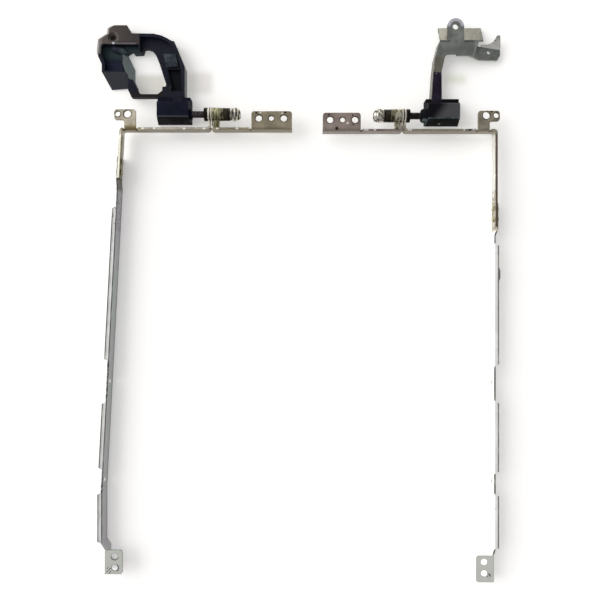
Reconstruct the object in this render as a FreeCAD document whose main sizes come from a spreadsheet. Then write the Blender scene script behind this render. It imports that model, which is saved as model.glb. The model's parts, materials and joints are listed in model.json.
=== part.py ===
import FreeCAD, Part
import os
import re
import Sketcher

# A pair of laptop lid hinges lying opened flat. Each hinge is drawn left-handed in its own frame:
# x runs along the hinge axis from the plane where the two lid ears meet, positive towards the
# middle of the pair, y is measured from the axis, z from the table. The right-hand pieces are
# mirror images. All sizes are in millimetres and degrees.
SIZES = {
    # where the hinges sit
    "hinge_half": 42.27,
    "left_stagger": 0.32,
    "right_stagger": -0.32,
    "axis_height": 7.0,
    # stamped lid brackets
    "bracket_thickness": 1.0,
    "bend_radius": 0.6,
    "bar_offset": 6.9,
    "web_bottom": 3.2,
    "web_top": 8.0,
    "left_arm_out": 39.65,
    "right_arm_out": 41.0,
    "left_arm_reach": 27.9,
    "right_arm_reach": 48.6,
    "left_splay": 3.0,
    "right_splay": 0.0,
    "ear_radius": 3.0,
    "left_inner_end": 35.7,
    "right_inner_end": 35.35,
    "relief_width": 0.8,
    "relief_depth": 1.7,
    # tab with the locating hole beside the screw hole
    "corner_tab_near": 32.5,
    "corner_tab_width": 5.0,
    "corner_ear_width": 4.4,
    "corner_tab_top": 2.0,
    "corner_ear_height": 4.6,
    "corner_screw_x": 36.1,
    "corner_screw_radius": 1.6,
    "corner_pin_gap": 4.3,
    "corner_pin_radius": 1.15,
    # tab with three holes
    "left_inner_tab_near": 18.0,
    "right_inner_tab_near": 18.8,
    "inner_tab_top": 1.15,
    "inner_hole_middle": 26.7,
    "inner_hole_pitch": 5.45,
    "inner_hole_y": -1.95,
    "inner_screw_radius": 1.4,
    "inner_pin_radius": 1.1,
    "tab_corner_radius": 1.2,
    # screen rails, with places along each rail measured from the outer face of the bar
    "rail_thickness": 0.6,
    "rail_height": 7.0,
    "rail_bend": 0.5,
    "left_rail_joggle": 0.4,
    "right_rail_joggle": 1.2,
    "joggle_length": 3.0,
    "joggle_gap": 0.8,
    "kink_gap": 1.5,
    "lip_width": 1.5,
    "lip_slant": 0.7,
    "left_rail_start": 11.2,
    "left_first_lip_start": 33.5,
    "left_first_lip_end": 101.2,
    "left_second_lip_start": 119.4,
    "left_second_lip_end": 148.9,
    "left_third_lip_start": 159.2,
    "left_third_lip_end": 181.3,
    "left_end_tab_start": 184.1,
    "left_rail_end": 194.7,
    "right_rail_start": 31.35,
    "right_first_lip_start": 49.2,
    "right_first_lip_end": 102.5,
    "right_second_lip_start": 118.2,
    "right_second_lip_end": 149.6,
    "right_third_lip_start": 159.1,
    "right_third_lip_end": 183.2,
    "right_end_tab_start": 185.7,
    "right_rail_end": 197.4,
    "nib_start": 59.3,
    "nib_end": 65.4,
    "nib_reach": 0.6,
    "nib_slant": 1.5,
    "left_end_tab_shift": 1.8,
    "right_end_tab_shift": 0.8,
    "end_tab_width": 7.8,
    "end_hole_x": 4.3,
    "end_hole_setback": 2.8,
    "end_hole_pitch": 5.0,
    "end_hole_radius": 1.4,
    "side_hole_height": 3.5,
    "side_hole_radius": 1.1,
    # rivets that hold a rail to its arm
    "rivet_radius": 0.8,
    "rivet_head_radius": 1.35,
    "rivet_head_height": 0.35,
    "rivet_setback": 2.2,
    "rivet_pitch": 4.6,
    "rivet_height": 5.1,
    # friction stack along the axis
    "running_clearance": 0.05,
    "fit_clearance": 0.02,
    "stack_gap": 0.03,
    "journal_radius": 1.95,
    "collar_radius": 2.9,
    "collar_thickness": 1.6,
    "neck_radius": 1.45,
    "stake_radius": 1.0,
    "stake_head": 0.3,
    "tongue_thickness": 2.8,
    "tongue_radius": 2.9,
    "tongue_drop": 2.2,
    "washer_radius": 2.8,
    "washer_thickness": 0.95,
    "spring_radius": 2.75,
    "spring_thickness": 0.4,
    "spring_rise": 0.3,
    "end_washer_radius": 2.6,
    "end_washer_thickness": 0.8,
    "nut_height": 2.8,
    "nut_radius": 3.0,
    "nut_bevel": 0.5,
    "nut_crown": 0.95,
    "thread_radius": 1.6,
    "stub_length": 1.0,
    # boots over the shaft roots
    "left_boot_near": 9.1,
    "right_boot_near": 10.2,
    "boot_length": 13.6,
    "boot_front": 2.8,
    "boot_lean": 0.9,
    "boot_flare": 1.7,
    "boot_back": 7.9,
    "boot_bottom": 0.3,
    "boot_top": 10.8,
    "boot_ledge": 5.6,
    "boot_sweep": 5.55,
    "boot_wall": 0.6,
    "boot_round": 0.45,
    "boot_clearance": 0.1,
    "boot_collar_radius": 2.25,
    "boot_collar_length": 1.1,
    # necks and lugs shared by both base brackets
    "neck_near": 12.7,
    "neck_width": 4.5,
    "neck_start": -1.0,
    "lug_radius": 1.6,
    "plate_top": 5.5,
    "plate_thickness": 1.2,
    "base_front": 8.05,
    # cast ring of the left base
    "ring_near": 11.6,
    "ring_width": 39.1,
    "ring_depth": 31.8,
    "channel_floor": 3.4,
    "well_floor": 2.0,
    "recess_floor": 2.6,
    "slope_foot": 0.8,
    "facet_foot": 0.9,
    "bridge_lift": 3.0,
    "ring_bevel": 1.1,
    "ring_screw_radius": 1.3,
    "counterbore_radius": 2.0,
    "counterbore_depth": 0.4,
    "pad_thickness": 0.8,
    # stamped bracket of the right base
    "bracket_width": 31.1,
    "bracket_depth": 35.55,
    "flange_thickness": 1.0,
    "tab_radius": 3.65,
    "tab_hole_radius": 1.3,
    "back_run": 7.4,
    "back_drop": 4.2,
    "wing_drop": 2.2,
    "wing_run": 2.6,
    "wing_sag": 0.7,
    "wing_hole_radius": 0.9,
    "hook_run": 4.0,
    "hook_rise": 3.0,
    "hook_curve_radius": 4.4,
    "tape_thickness": 0.15,
    "tape_end": 19.7,
}

# Outlines of the two base brackets, as shares of each bracket's own width and depth.
RING = [
    (0.841, 1.0), (0.65, 1.0), (0.607, 0.888), (0.353, 0.884), (0.268, 0.861), (0.203, 0.824),
    (0.146, 0.784), (0.119, 0.778), (0.0, 0.424), (0.0, 0.0), (0.599, 0.0), (0.666, 0.177),
    (0.861, 0.161), (0.935, 0.357), (0.935, 0.461), (1.0, 0.634), (0.988, 0.819), (0.883, 0.9),
    (0.879, 0.969),
]
RING_OPENING = [
    (0.67, 0.639), (0.617, 0.681), (0.587, 0.637), (0.492, 0.644), (0.476, 0.712), (0.438, 0.719),
    (0.391, 0.701), (0.344, 0.634), (0.297, 0.496), (0.216, 0.184), (0.216, 0.149), (0.25, 0.149),
    (0.255, 0.092), (0.306, 0.045), (0.494, 0.045), (0.513, 0.06), (0.593, 0.262), (0.593, 0.438),
]
RING_CHANNEL = [
    (0.503, 0.845), (0.353, 0.84), (0.268, 0.818), (0.203, 0.778), (0.155, 0.735), (0.122, 0.7),
    (0.035, 0.39), (0.026, 0.08), (0.17, 0.08), (0.17, 0.17), (0.3, 0.17), (0.42, 0.65),
    (0.503, 0.6),
]
RING_WELL = [(0.2, 0.41), (0.058, 0.41), (0.044, 0.12), (0.142, 0.12)]
RING_RECESS = [
    (0.92, 0.745), (0.517, 0.731), (0.517, 0.6), (0.714, 0.6), (0.714, 0.37), (0.9, 0.37),
    (0.9, 0.48), (0.95, 0.63), (0.945, 0.725),
]
RING_BEVEL = [(1.0, 0.634), (0.988, 0.819), (0.883, 0.9), (0.879, 0.969), (0.841, 1.0)]
SLOPE_TOP = [(0.7, 0.6), (0.7, 0.473), (0.663, 0.334), (0.62, 0.25), (0.48, 0.25), (0.48, 0.6)]
SLOPE_FOOT = [(0.64, 0.6), (0.593, 0.473), (0.593, 0.334), (0.585, 0.25), (0.48, 0.25), (0.48, 0.6)]
FACET_START = 0.64
FACET_TOP = 0.357
FACET_FRONT = 0.165
BRIDGE = [(0.22, -0.1), (0.62, -0.1), (0.62, 0.16), (0.22, 0.16)]
RING_SCREW = (0.812, 0.832)
ARM_PAD = [(0.249, 0.619), (0.108, 0.619), (0.08, 0.447), (0.211, 0.436)]
PLATE = [
    (0.145, 0.0), (0.141, 0.337), (0.19, 0.525), (0.228, 0.557), (0.35, 0.557), (0.37, 0.54),
    (0.537, 0.54), (0.608, 0.51), (0.666, 0.7), (0.633, 0.728), (0.46, 0.728), (0.46, 0.897),
    (0.225, 0.897), (0.225, 0.728), (0.138, 0.728), (0.109, 0.706), (0.048, 0.506), (0.026, 0.337),
    (0.0, 0.0),
]
FLANGE = [(0.0, 0.0), (0.026, 0.337), (0.048, 0.506), (0.109, 0.706)]
TAB_CENTRE = (0.342, 0.897)
BACK_SPANS = [(0.125, 0.265), (0.463, 0.735)]
BACK_FRONT = 0.722
WING_ROOT = 0.608
WING_SPAN = (0.51, 0.672)
WING_CORNER = [(1.03, 0.49), (0.945, 0.49), (1.03, 0.61)]
WING_HOLE = (0.836, 0.605)
HOOK_ROOT = 0.725
HOOK_CURVE = (0.79, 0.817)
HOOK_TRIM = [(1.03, 0.672), (1.0, 0.672), (0.966, 0.8), (1.03, 0.8)]
HOOK_SHELF = [(0.6, 0.693), (0.82, 0.693), (0.82, 1.1), (0.6, 1.1)]

SPRING_COUNT = 4
WASHER_COUNT = 2
RIVET_COUNT = 2
ARC_STEPS = 6
DOME_STEPS = 4

# How closely an edge has to lie to the place it is looked for.
MATCH = 0.01

# Places worked out from the sizes.
PAIR_SHIFT = "(ring_near + ring_width - neck_near - bracket_width) / 2"
AXIS_Y = "(bar_offset + right_rail_end - base_front - bracket_depth) / 2 - right_stagger"
BAR_INSIDE = "bracket_thickness - bar_offset"
TONGUE_START = "bracket_thickness + stack_gap"
WASHER_START = f"{TONGUE_START} + tongue_thickness + stack_gap"
SPRING_START = f"{WASHER_START} + {WASHER_COUNT} * (washer_thickness + stack_gap)"
SPRING_STEP = "(spring_thickness + spring_rise + stack_gap)"
END_WASHER_START = f"{SPRING_START} + {SPRING_COUNT} * {SPRING_STEP}"
NUT_START = f"{END_WASHER_START} + end_washer_thickness"
BORE = "journal_radius + running_clearance"
PLATE_FOOT = "plate_top - plate_thickness"

doc = FreeCAD.newDocument("LaptopHinges")
sheet = doc.addObject("Spreadsheet::Sheet", "Sizes")
for row, (name, size) in enumerate(SIZES.items(), start=1):
    sheet.set(f"A{row}", name)
    sheet.set(f"B{row}", str(size))
    sheet.setAlias(f"B{row}", name)
doc.recompute()


def sized(text):
    """Point each size named in an expression at its sheet cell."""
    return re.sub(r"[a-z]\w*", lambda word: f"Sizes.{word[0]}" if word[0] in SIZES else word[0], text)


def number(text):
    """The present value of an expression."""
    result = sheet.evalExpression(sized(text))
    return float(getattr(result, "Value", result))


def new_body(label):
    body = doc.addObject("PartDesign::Body", label)
    body.AllowCompound = True
    return body


def new_sketch(body, role, offset="0"):
    """A sketch on one of the body's own planes, moved along the plane's normal."""
    sketch = body.newObject("Sketcher::SketchObject", f"{body.Name}_sketch")
    plane = next(feature for feature in body.Origin.OriginFeatures if feature.Role == role)
    sketch.AttachmentSupport = [(plane, "")]
    sketch.MapMode = "FlatFace"
    sketch.setExpression("AttachmentOffset.Base.z", sized(offset))
    sketch.Visibility = False
    return sketch


def hold(sketch, kind, geometry, point, text):
    """Hold one coordinate of a point by an expression."""
    index = sketch.addConstraint(Sketcher.Constraint(kind, -1, 1, geometry, point, number(text)))
    sketch.setExpression(f"Constraints[{index}]", sized(text))


def draw_outline(sketch, points):
    """A closed outline with each corner held by two expressions."""
    corners = [FreeCAD.Vector(number(x), number(y), 0) for x, y in points]
    first = sketch.GeometryCount
    for start, end in zip(corners, corners[1:] + corners[:1]):
        sketch.addGeometry(Part.LineSegment(start, end))
    for index, (x, y) in enumerate(points):
        line = first + index
        before = first + (index - 1) % len(points)
        sketch.addConstraint(Sketcher.Constraint("Coincident", before, 2, line, 1))
        hold(sketch, "DistanceX", line, 1, x)
        hold(sketch, "DistanceY", line, 1, y)


def draw_rectangle(sketch, left, right, bottom, top):
    draw_outline(sketch, [(left, bottom), (right, bottom), (right, top), (left, top)])


def draw_circle(sketch, x, y, radius):
    centre = FreeCAD.Vector(number(x), number(y), 0)
    circle = sketch.addGeometry(Part.Circle(centre, FreeCAD.Vector(0, 0, 1), number(radius)))
    hold(sketch, "DistanceX", circle, 3, x)
    hold(sketch, "DistanceY", circle, 3, y)
    index = sketch.addConstraint(Sketcher.Constraint("Radius", circle, number(radius)))
    sketch.setExpression(f"Constraints[{index}]", sized(radius))


def extrude(kind, body, sketch, length, reverse=False):
    feature = body.newObject(f"PartDesign::{kind}", f"{body.Name}_{kind.lower()}")
    feature.Profile = (sketch, [""])
    feature.setExpression("Length", sized(length))
    feature.Reversed = reverse
    return feature


def pad(body, sketch, length, reverse=False):
    return extrude("Pad", body, sketch, length, reverse)


def pocket(body, sketch, length, reverse=False):
    return extrude("Pocket", body, sketch, length, reverse)


def revolve(body, sketch):
    """Turn a sketch right round its own horizontal axis."""
    feature = body.newObject("PartDesign::Revolution", f"{body.Name}_turned")
    feature.Profile = (sketch, [""])
    feature.ReferenceAxis = (sketch, ["H_Axis"])
    feature.Angle = 360
    return feature


def dress(kind, body, size_name, size, wanted):
    """A fillet or chamfer on the edges of the body's tip that a test picks out."""
    doc.recompute()
    base = body.Tip
    edges = [f"Edge{index}" for index, edge in enumerate(base.Shape.Edges, start=1) if wanted(edge)]
    feature = body.newObject(f"PartDesign::{kind}", f"{body.Name}_{kind.lower()}")
    feature.Base = (base, edges)
    feature.setExpression(size_name, sized(size))
    return feature


def near(value, target):
    return abs(value - target) < MATCH


def any_of(tests):
    """Test for an edge that passes at least one of several tests."""
    return lambda edge: any(test(edge) for test in tests)


def upright_at(x, y):
    """Test for a straight upright edge at a place seen from above."""
    place = (number(x), number(y))

    def wanted(edge):
        box = edge.BoundBox
        middle = edge.CenterOfMass
        return near(box.XLength + box.YLength, 0) and near(middle.x, place[0]) and near(middle.y, place[1])

    return wanted


def along_x_at(y, z, left, right):
    """Test for a straight edge along x at a height, inside a stretch of x."""
    place = (number(y), number(z))
    span = (number(left) - MATCH, number(right) + MATCH)

    def wanted(edge):
        box = edge.BoundBox
        middle = edge.CenterOfMass
        level = near(box.YLength + box.ZLength, 0) and near(middle.y, place[0]) and near(middle.z, place[1])
        return level and span[0] < box.XMin and box.XMax < span[1]

    return wanted


def between(start, end, z):
    """Test for the straight level edge that joins two corners at a height."""
    ends = [FreeCAD.Vector(number(x), number(y), number(z)) for x, y in (start, end)]
    centre = (ends[0] + ends[1]) / 2

    def wanted(edge):
        return near(edge.Length, ends[0].distanceToPoint(ends[1])) and near(
            edge.CenterOfMass.distanceToPoint(centre), 0
        )

    return wanted


def place(item, side):
    """Put a left-handed piece at its hinge; right-hand sources wait mirrored."""
    x = f"{PAIR_SHIFT} - hinge_half" if side == "left" else f"-({PAIR_SHIFT}) - hinge_half"
    item.setExpression("Placement.Base.x", sized(x))
    item.setExpression("Placement.Base.y", sized(f"{AXIS_Y} + {side}_stagger"))


def place_on_arm(item, side):
    """Put a piece drawn along a straight arm at the bracket's corner, turned with the arm."""
    x = f"{PAIR_SHIFT} - hinge_half" if side == "left" else f"-({PAIR_SHIFT}) - hinge_half"
    item.Placement = FreeCAD.Placement(FreeCAD.Vector(), FreeCAD.Rotation(FreeCAD.Vector(0, 0, 1), -1))
    item.setExpression("Placement.Base.x", sized(f"{x} - {side}_arm_out"))
    item.setExpression("Placement.Base.y", sized(f"{AXIS_Y} + {side}_stagger - bar_offset"))
    item.setExpression("Placement.Rotation.Angle", sized(f"-{side}_splay"))


def finish(item, name, side):
    """The finished node: the piece itself on the left, its mirror image on the right."""
    label = f"{side}_{name}"
    if side == "left":
        item.Label = label
        return item
    item.Label = f"{label}_drawn_left_handed"
    mirror = doc.addObject("Part::Mirroring", f"{label}_mirror")
    mirror.Source = item
    mirror.Normal = FreeCAD.Vector(1, 0, 0)
    mirror.Label = label
    return mirror


def add_ear(body, start):
    """The round end of an ear with its bore for the shaft."""
    disc = new_sketch(body, "YZ_Plane", start)
    draw_circle(disc, "0", "axis_height", "ear_radius")
    pad(body, disc, "bracket_thickness")
    bore = new_sketch(body, "YZ_Plane", f"{start} + bracket_thickness")
    draw_circle(bore, "0", "axis_height", BORE)
    pocket(body, bore, "bracket_thickness")


def cut_reliefs(body, places):
    """Cut bend reliefs into the bar's top edge, each from a place to one relief width beyond it."""
    sketch = new_sketch(body, "XZ_Plane", "bar_offset")
    for left in places:
        right = f"{left} + relief_width"
        draw_rectangle(sketch, left, right, "web_top - relief_depth", "web_top + relief_depth")
    pocket(body, sketch, "bracket_thickness + bend_radius")


def bend_tab(body, left, right):
    """Round the bend between the bar and a tab."""
    outside = along_x_at("-bar_offset", "web_top", left, right)
    dress("Fillet", body, "Radius", "bend_radius + bracket_thickness - fit_clearance", outside)
    inside = along_x_at(BAR_INSIDE, "web_top - bracket_thickness", left, right)
    dress("Fillet", body, "Radius", "bend_radius", inside)


def draw_rivets(sketch, side, radius):
    """One circle for each rivet, along the straight part of an arm."""
    for index in range(RIVET_COUNT):
        along = f"-({side}_rail_start + rivet_setback + {index} * rivet_pitch)"
        draw_circle(sketch, along, "rivet_height", radius)


def build_outer_bracket(side):
    """Lid bracket with the corner tab, the arm and the outer ear, bent from one strip."""
    body = new_body(f"{side}_outer_bracket")
    sine = f"sin({side}_splay * 1deg)"
    cosine = f"cos({side}_splay * 1deg)"
    length = f"({side}_arm_reach - bar_offset)"
    end_x = f"-{side}_arm_out - {length} * {sine}"
    end_y = f"-bar_offset - {length} * {cosine}"
    outside_x = f"bracket_thickness * {sine} / {cosine} - {side}_arm_out"
    inside_x = f"bracket_thickness / {cosine} - {side}_arm_out"
    strip = new_sketch(body, "XY_Plane", "web_bottom")
    draw_outline(strip, [
        ("0", "0"),
        ("-bracket_thickness", "0"),
        ("-bracket_thickness", BAR_INSIDE),
        (outside_x, BAR_INSIDE),
        (end_x, end_y),
        (f"{end_x} + bracket_thickness * {cosine}", f"{end_y} - bracket_thickness * {sine}"),
        (inside_x, "-bar_offset"),
        ("0", "-bar_offset"),
    ])
    pad(body, strip, "web_top - web_bottom")
    inside = [upright_at("-bracket_thickness", BAR_INSIDE), upright_at(inside_x, "-bar_offset")]
    dress("Fillet", body, "Radius", "bend_radius", any_of(inside))
    outside = [upright_at(outside_x, BAR_INSIDE), upright_at("0", "-bar_offset")]
    dress("Fillet", body, "Radius", "bend_radius + bracket_thickness", any_of(outside))
    add_ear(body, "-bracket_thickness")
    tab_left = "-corner_tab_near - corner_tab_width"
    ear_left = f"{tab_left} - corner_ear_width"
    ear_bottom = "corner_tab_top - corner_ear_height"
    tab = new_sketch(body, "XY_Plane", "web_top - bracket_thickness")
    draw_outline(tab, [
        ("-corner_tab_near", "-bar_offset"),
        ("-corner_tab_near", "corner_tab_top"),
        (ear_left, "corner_tab_top"),
        (ear_left, ear_bottom),
        (tab_left, ear_bottom),
        (tab_left, "-bar_offset"),
    ])
    draw_circle(tab, "-corner_screw_x", "0", "corner_screw_radius")
    draw_circle(tab, "-corner_screw_x - corner_pin_gap", "0", "corner_pin_radius")
    pad(body, tab, "bracket_thickness")
    rounded = [upright_at(x, "corner_tab_top") for x in ("-corner_tab_near", ear_left)]
    rounded += [upright_at(x, ear_bottom) for x in (ear_left, tab_left)]
    dress("Fillet", body, "Radius", "tab_corner_radius", any_of(rounded))
    cut_reliefs(body, ["-corner_tab_near", f"{tab_left} - relief_width"])
    bend_tab(body, tab_left, "-corner_tab_near")
    holes = new_sketch(body, "YZ_Plane")
    turn = FreeCAD.Rotation(FreeCAD.Vector(0, 1, 0), -1)
    holes.AttachmentOffset = FreeCAD.Placement(FreeCAD.Vector(), turn)
    holes.setExpression("AttachmentOffset.Base.x", sized("-bar_offset"))
    holes.setExpression("AttachmentOffset.Base.z", sized(f"-{side}_arm_out"))
    holes.setExpression("AttachmentOffset.Rotation.Angle", sized(f"-{side}_splay"))
    draw_rivets(holes, side, "rivet_radius + fit_clearance")
    pocket(body, holes, "bracket_thickness", reverse=True)
    place(body, side)
    return finish(body, "outer_bracket", side)


def build_inner_bracket(side):
    """Lid bracket with the three-hole tab and the inner ear, bent from one strip."""
    body = new_body(f"{side}_inner_bracket")
    bar_end = f"{side}_inner_end"
    tab_near = f"{side}_inner_tab_near"
    strip = new_sketch(body, "XY_Plane", "web_bottom")
    draw_outline(strip, [
        ("0", "0"),
        ("0", "-bar_offset"),
        (bar_end, "-bar_offset"),
        (bar_end, BAR_INSIDE),
        ("bracket_thickness", BAR_INSIDE),
        ("bracket_thickness", "0"),
    ])
    pad(body, strip, "web_top - web_bottom")
    dress("Fillet", body, "Radius", "bend_radius", upright_at("bracket_thickness", BAR_INSIDE))
    dress("Fillet", body, "Radius", "bend_radius + bracket_thickness", upright_at("0", "-bar_offset"))
    add_ear(body, "0")
    tab = new_sketch(body, "XY_Plane", "web_top - bracket_thickness")
    draw_rectangle(tab, tab_near, bar_end, "-bar_offset", "inner_tab_top")
    for step, radius in ((-1, "inner_screw_radius"), (0, "inner_pin_radius"), (1, "inner_screw_radius")):
        draw_circle(tab, f"inner_hole_middle + {step} * inner_hole_pitch", "inner_hole_y", radius)
    pad(body, tab, "bracket_thickness")
    rounded = [upright_at(x, "inner_tab_top") for x in (tab_near, bar_end)]
    dress("Fillet", body, "Radius", "tab_corner_radius", any_of(rounded))
    cut_reliefs(body, [f"{tab_near} - relief_width"])
    bend_tab(body, tab_near, bar_end)
    place(body, side)
    return finish(body, "inner_bracket", side)


def build_rail(side):
    """Screen rail: a thin strip on edge with lips along its top, drawn straight down from the corner."""
    body = new_body(f"{side}_screen_rail")
    start = f"{side}_rail_start"
    end = f"{side}_rail_end"
    lips_end = f"{side}_third_lip_end"
    tab_start = f"{side}_end_tab_start"
    shift = f"{side}_end_tab_shift"
    inner = f"{side}_rail_joggle"
    face = f"{inner} - rail_thickness"
    lip_edge = f"{face} - lip_width"
    joggle = f"({side}_arm_reach - bar_offset + joggle_gap)"
    kink = f"({side}_third_lip_start - kink_gap)"
    sine = f"sin({side}_splay * 1deg)"
    cosine = f"cos({side}_splay * 1deg)"

    def bent(across, along):
        """A point beyond the kink: across from the outer face, along from the bar."""
        past = f"({along} - {kink})"
        return (
            f"{face} + {past} * {sine} + ({across}) * {cosine}",
            f"-{kink} - {past} * {cosine} + ({across}) * {sine}",
        )

    straight = [(inner, f"-{kink}"), (inner, f"-{joggle} - joggle_length")]
    strip = new_sketch(body, "XY_Plane")
    draw_outline(strip, [
        ("-rail_thickness", f"-{start}"),
        ("-rail_thickness", f"-{joggle}"),
        (face, f"-{joggle} - joggle_length"),
        (face, f"-{kink}"),
        bent("0", lips_end),
        bent(shift, tab_start),
        bent(shift, end),
        bent(f"{shift} + rail_thickness", end),
        bent(f"{shift} + rail_thickness", tab_start),
        bent("rail_thickness", lips_end),
        *straight,
        ("0", f"-{joggle}"),
        ("0", f"-{start}"),
    ])
    pad(body, strip, "rail_height")
    stops = (straight[0], bent("rail_thickness", lips_end))
    crests = [between(stop, straight[1], "rail_height") for stop in stops]
    dress("Fillet", body, "Radius", "rail_bend", any_of(crests))
    tab_edge = f"{shift} + end_tab_width"
    flat = new_sketch(body, "XY_Plane", "rail_height - rail_thickness")
    nib = [
        (lip_edge, "-nib_start"),
        (f"{lip_edge} - nib_reach", "-nib_start - nib_slant"),
        (f"{lip_edge} - nib_reach", "nib_slant - nib_end"),
        (lip_edge, "-nib_end"),
    ]
    for lip, extra in (("first_lip", nib if side == "right" else []), ("second_lip", [])):
        draw_outline(flat, [
            (face, f"-{side}_{lip}_start"),
            (lip_edge, f"-{side}_{lip}_start - lip_slant"),
            *extra,
            (lip_edge, f"-{side}_{lip}_end + lip_slant"),
            (face, f"-{side}_{lip}_end"),
        ])
    draw_outline(flat, [
        bent("0", f"{side}_third_lip_start"),
        bent("-lip_width", f"{side}_third_lip_start + lip_slant"),
        bent("-lip_width", f"{lips_end} - lip_slant"),
        bent("0", lips_end),
    ])
    draw_outline(flat, [
        bent(shift, tab_start),
        bent(shift, end),
        bent(tab_edge, end),
        bent(tab_edge, tab_start),
    ])
    for index in range(2):
        along = f"{tab_start} + end_hole_setback + {index} * end_hole_pitch"
        draw_circle(flat, *bent(f"{shift} + end_hole_x", along), "end_hole_radius")
    pad(body, flat, "rail_thickness")
    corners = [upright_at(*bent(tab_edge, along)) for along in (end, tab_start)]
    dress("Fillet", body, "Radius", "tab_corner_radius", any_of(corners))
    screws = new_sketch(body, "YZ_Plane", inner)
    for before, after in (("first_lip_end", "second_lip_start"), ("second_lip_end", "third_lip_start")):
        along = f"-({side}_{before} + {side}_{after}) / 2"
        draw_circle(screws, along, "side_hole_height", "side_hole_radius")
    pocket(body, screws, "rail_thickness")
    rivets = new_sketch(body, "YZ_Plane", "0")
    draw_rivets(rivets, side, "rivet_radius + fit_clearance")
    pocket(body, rivets, "rail_thickness")
    place_on_arm(body, side)
    return finish(body, "screen_rail", side)


def build_rivets(side):
    """Two rivets through the rail and the arm, with a flat head at each end."""
    body = new_body(f"{side}_rail_rivets")
    heads = new_sketch(body, "YZ_Plane", "-rail_thickness - rivet_head_height")
    shanks = new_sketch(body, "YZ_Plane", "-rail_thickness - rivet_head_height")
    tails = new_sketch(body, "YZ_Plane", "bracket_thickness")
    draw_rivets(heads, side, "rivet_head_radius")
    draw_rivets(shanks, side, "rivet_radius")
    draw_rivets(tails, side, "rivet_head_radius")
    pad(body, heads, "rivet_head_height")
    pad(body, shanks, "rail_thickness + bracket_thickness + 2 * rivet_head_height")
    pad(body, tails, "rivet_head_height")
    place_on_arm(body, side)
    return finish(body, "rail_rivets", side)


def build_shaft(side):
    """Hinge shaft: staked root, neck, collar, journal and threaded end."""
    body = new_body(f"{side}_hinge_shaft")
    sketch = new_sketch(body, "XY_Plane", "axis_height")
    root = "-neck_near - plate_thickness - stake_head"
    shoulder = "-neck_near + fit_clearance"
    collar = "-bracket_thickness - stack_gap"
    stub = f"{NUT_START} + nut_height"
    dome = []
    for step in range(DOME_STEPS):
        turn = f"({step} * 90 / {DOME_STEPS}) * 1deg"
        dome.append((f"{stub} + stub_length * sin({turn})", f"thread_radius * cos({turn})"))
    draw_outline(sketch, [
        (root, "0"),
        (root, "stake_radius"),
        (shoulder, "stake_radius"),
        (shoulder, "neck_radius"),
        (f"{collar} - collar_thickness", "neck_radius"),
        (f"{collar} - collar_thickness", "collar_radius"),
        (collar, "collar_radius"),
        (collar, "journal_radius"),
        (NUT_START, "journal_radius"),
        (NUT_START, "thread_radius"),
        *dome,
        (f"{stub} + stub_length", "0"),
    ])
    revolve(body, sketch)
    place(body, side)
    return finish(body, "hinge_shaft", side)


def build_tongue_plate(side):
    """Friction plate kept from turning by a tongue that rests on the bar's inner face."""
    body = new_body(f"{side}_tongue_plate")
    tongue = new_sketch(body, "YZ_Plane", f"{TONGUE_START} + bend_radius")
    tip = f"{BAR_INSIDE} + fit_clearance"
    draw_rectangle(tongue, tip, "0", "axis_height - tongue_drop", "web_top")
    pad(body, tongue, "tongue_thickness - bend_radius")
    disc = new_sketch(body, "YZ_Plane", TONGUE_START)
    draw_circle(disc, "0", "axis_height", "tongue_radius")
    pad(body, disc, "tongue_thickness")
    bore = new_sketch(body, "YZ_Plane", f"{TONGUE_START} + tongue_thickness")
    draw_circle(bore, "0", "axis_height", BORE)
    pocket(body, bore, "tongue_thickness")
    place(body, side)
    return finish(body, "tongue_plate", side)


def build_washers(side):
    """Flat friction washers that turn with the shaft."""
    body = new_body(f"{side}_friction_washers")
    sketch = new_sketch(body, "XY_Plane", "axis_height")
    for index in range(WASHER_COUNT):
        start = f"{WASHER_START} + {index} * (washer_thickness + stack_gap)"
        end = f"{start} + washer_thickness"
        draw_rectangle(sketch, start, end, "journal_radius + fit_clearance", "washer_radius")
    revolve(body, sketch)
    place(body, side)
    return finish(body, "friction_washers", side)


def build_springs(side):
    """Coned spring washers stacked face to face in turn."""
    body = new_body(f"{side}_disc_springs")
    sketch = new_sketch(body, "XY_Plane", "axis_height")
    bore = "journal_radius + fit_clearance"
    for index in range(SPRING_COUNT):
        start = f"{SPRING_START} + {index} * {SPRING_STEP}"
        raised = f"{start} + spring_rise"
        inner, outer = (start, raised) if index % 2 else (raised, start)
        draw_outline(sketch, [
            (inner, bore),
            (f"{inner} + spring_thickness", bore),
            (f"{outer} + spring_thickness", "spring_radius"),
            (outer, "spring_radius"),
        ])
    revolve(body, sketch)
    place(body, side)
    return finish(body, "disc_springs", side)


def build_end_washer(side):
    """Plain washer under the nut."""
    body = new_body(f"{side}_end_washer")
    sketch = new_sketch(body, "XY_Plane", "axis_height")
    end = f"{END_WASHER_START} + end_washer_thickness"
    draw_rectangle(sketch, END_WASHER_START, end, "journal_radius + fit_clearance", "end_washer_radius")
    revolve(body, sketch)
    place(body, side)
    return finish(body, "end_washer", side)


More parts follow.
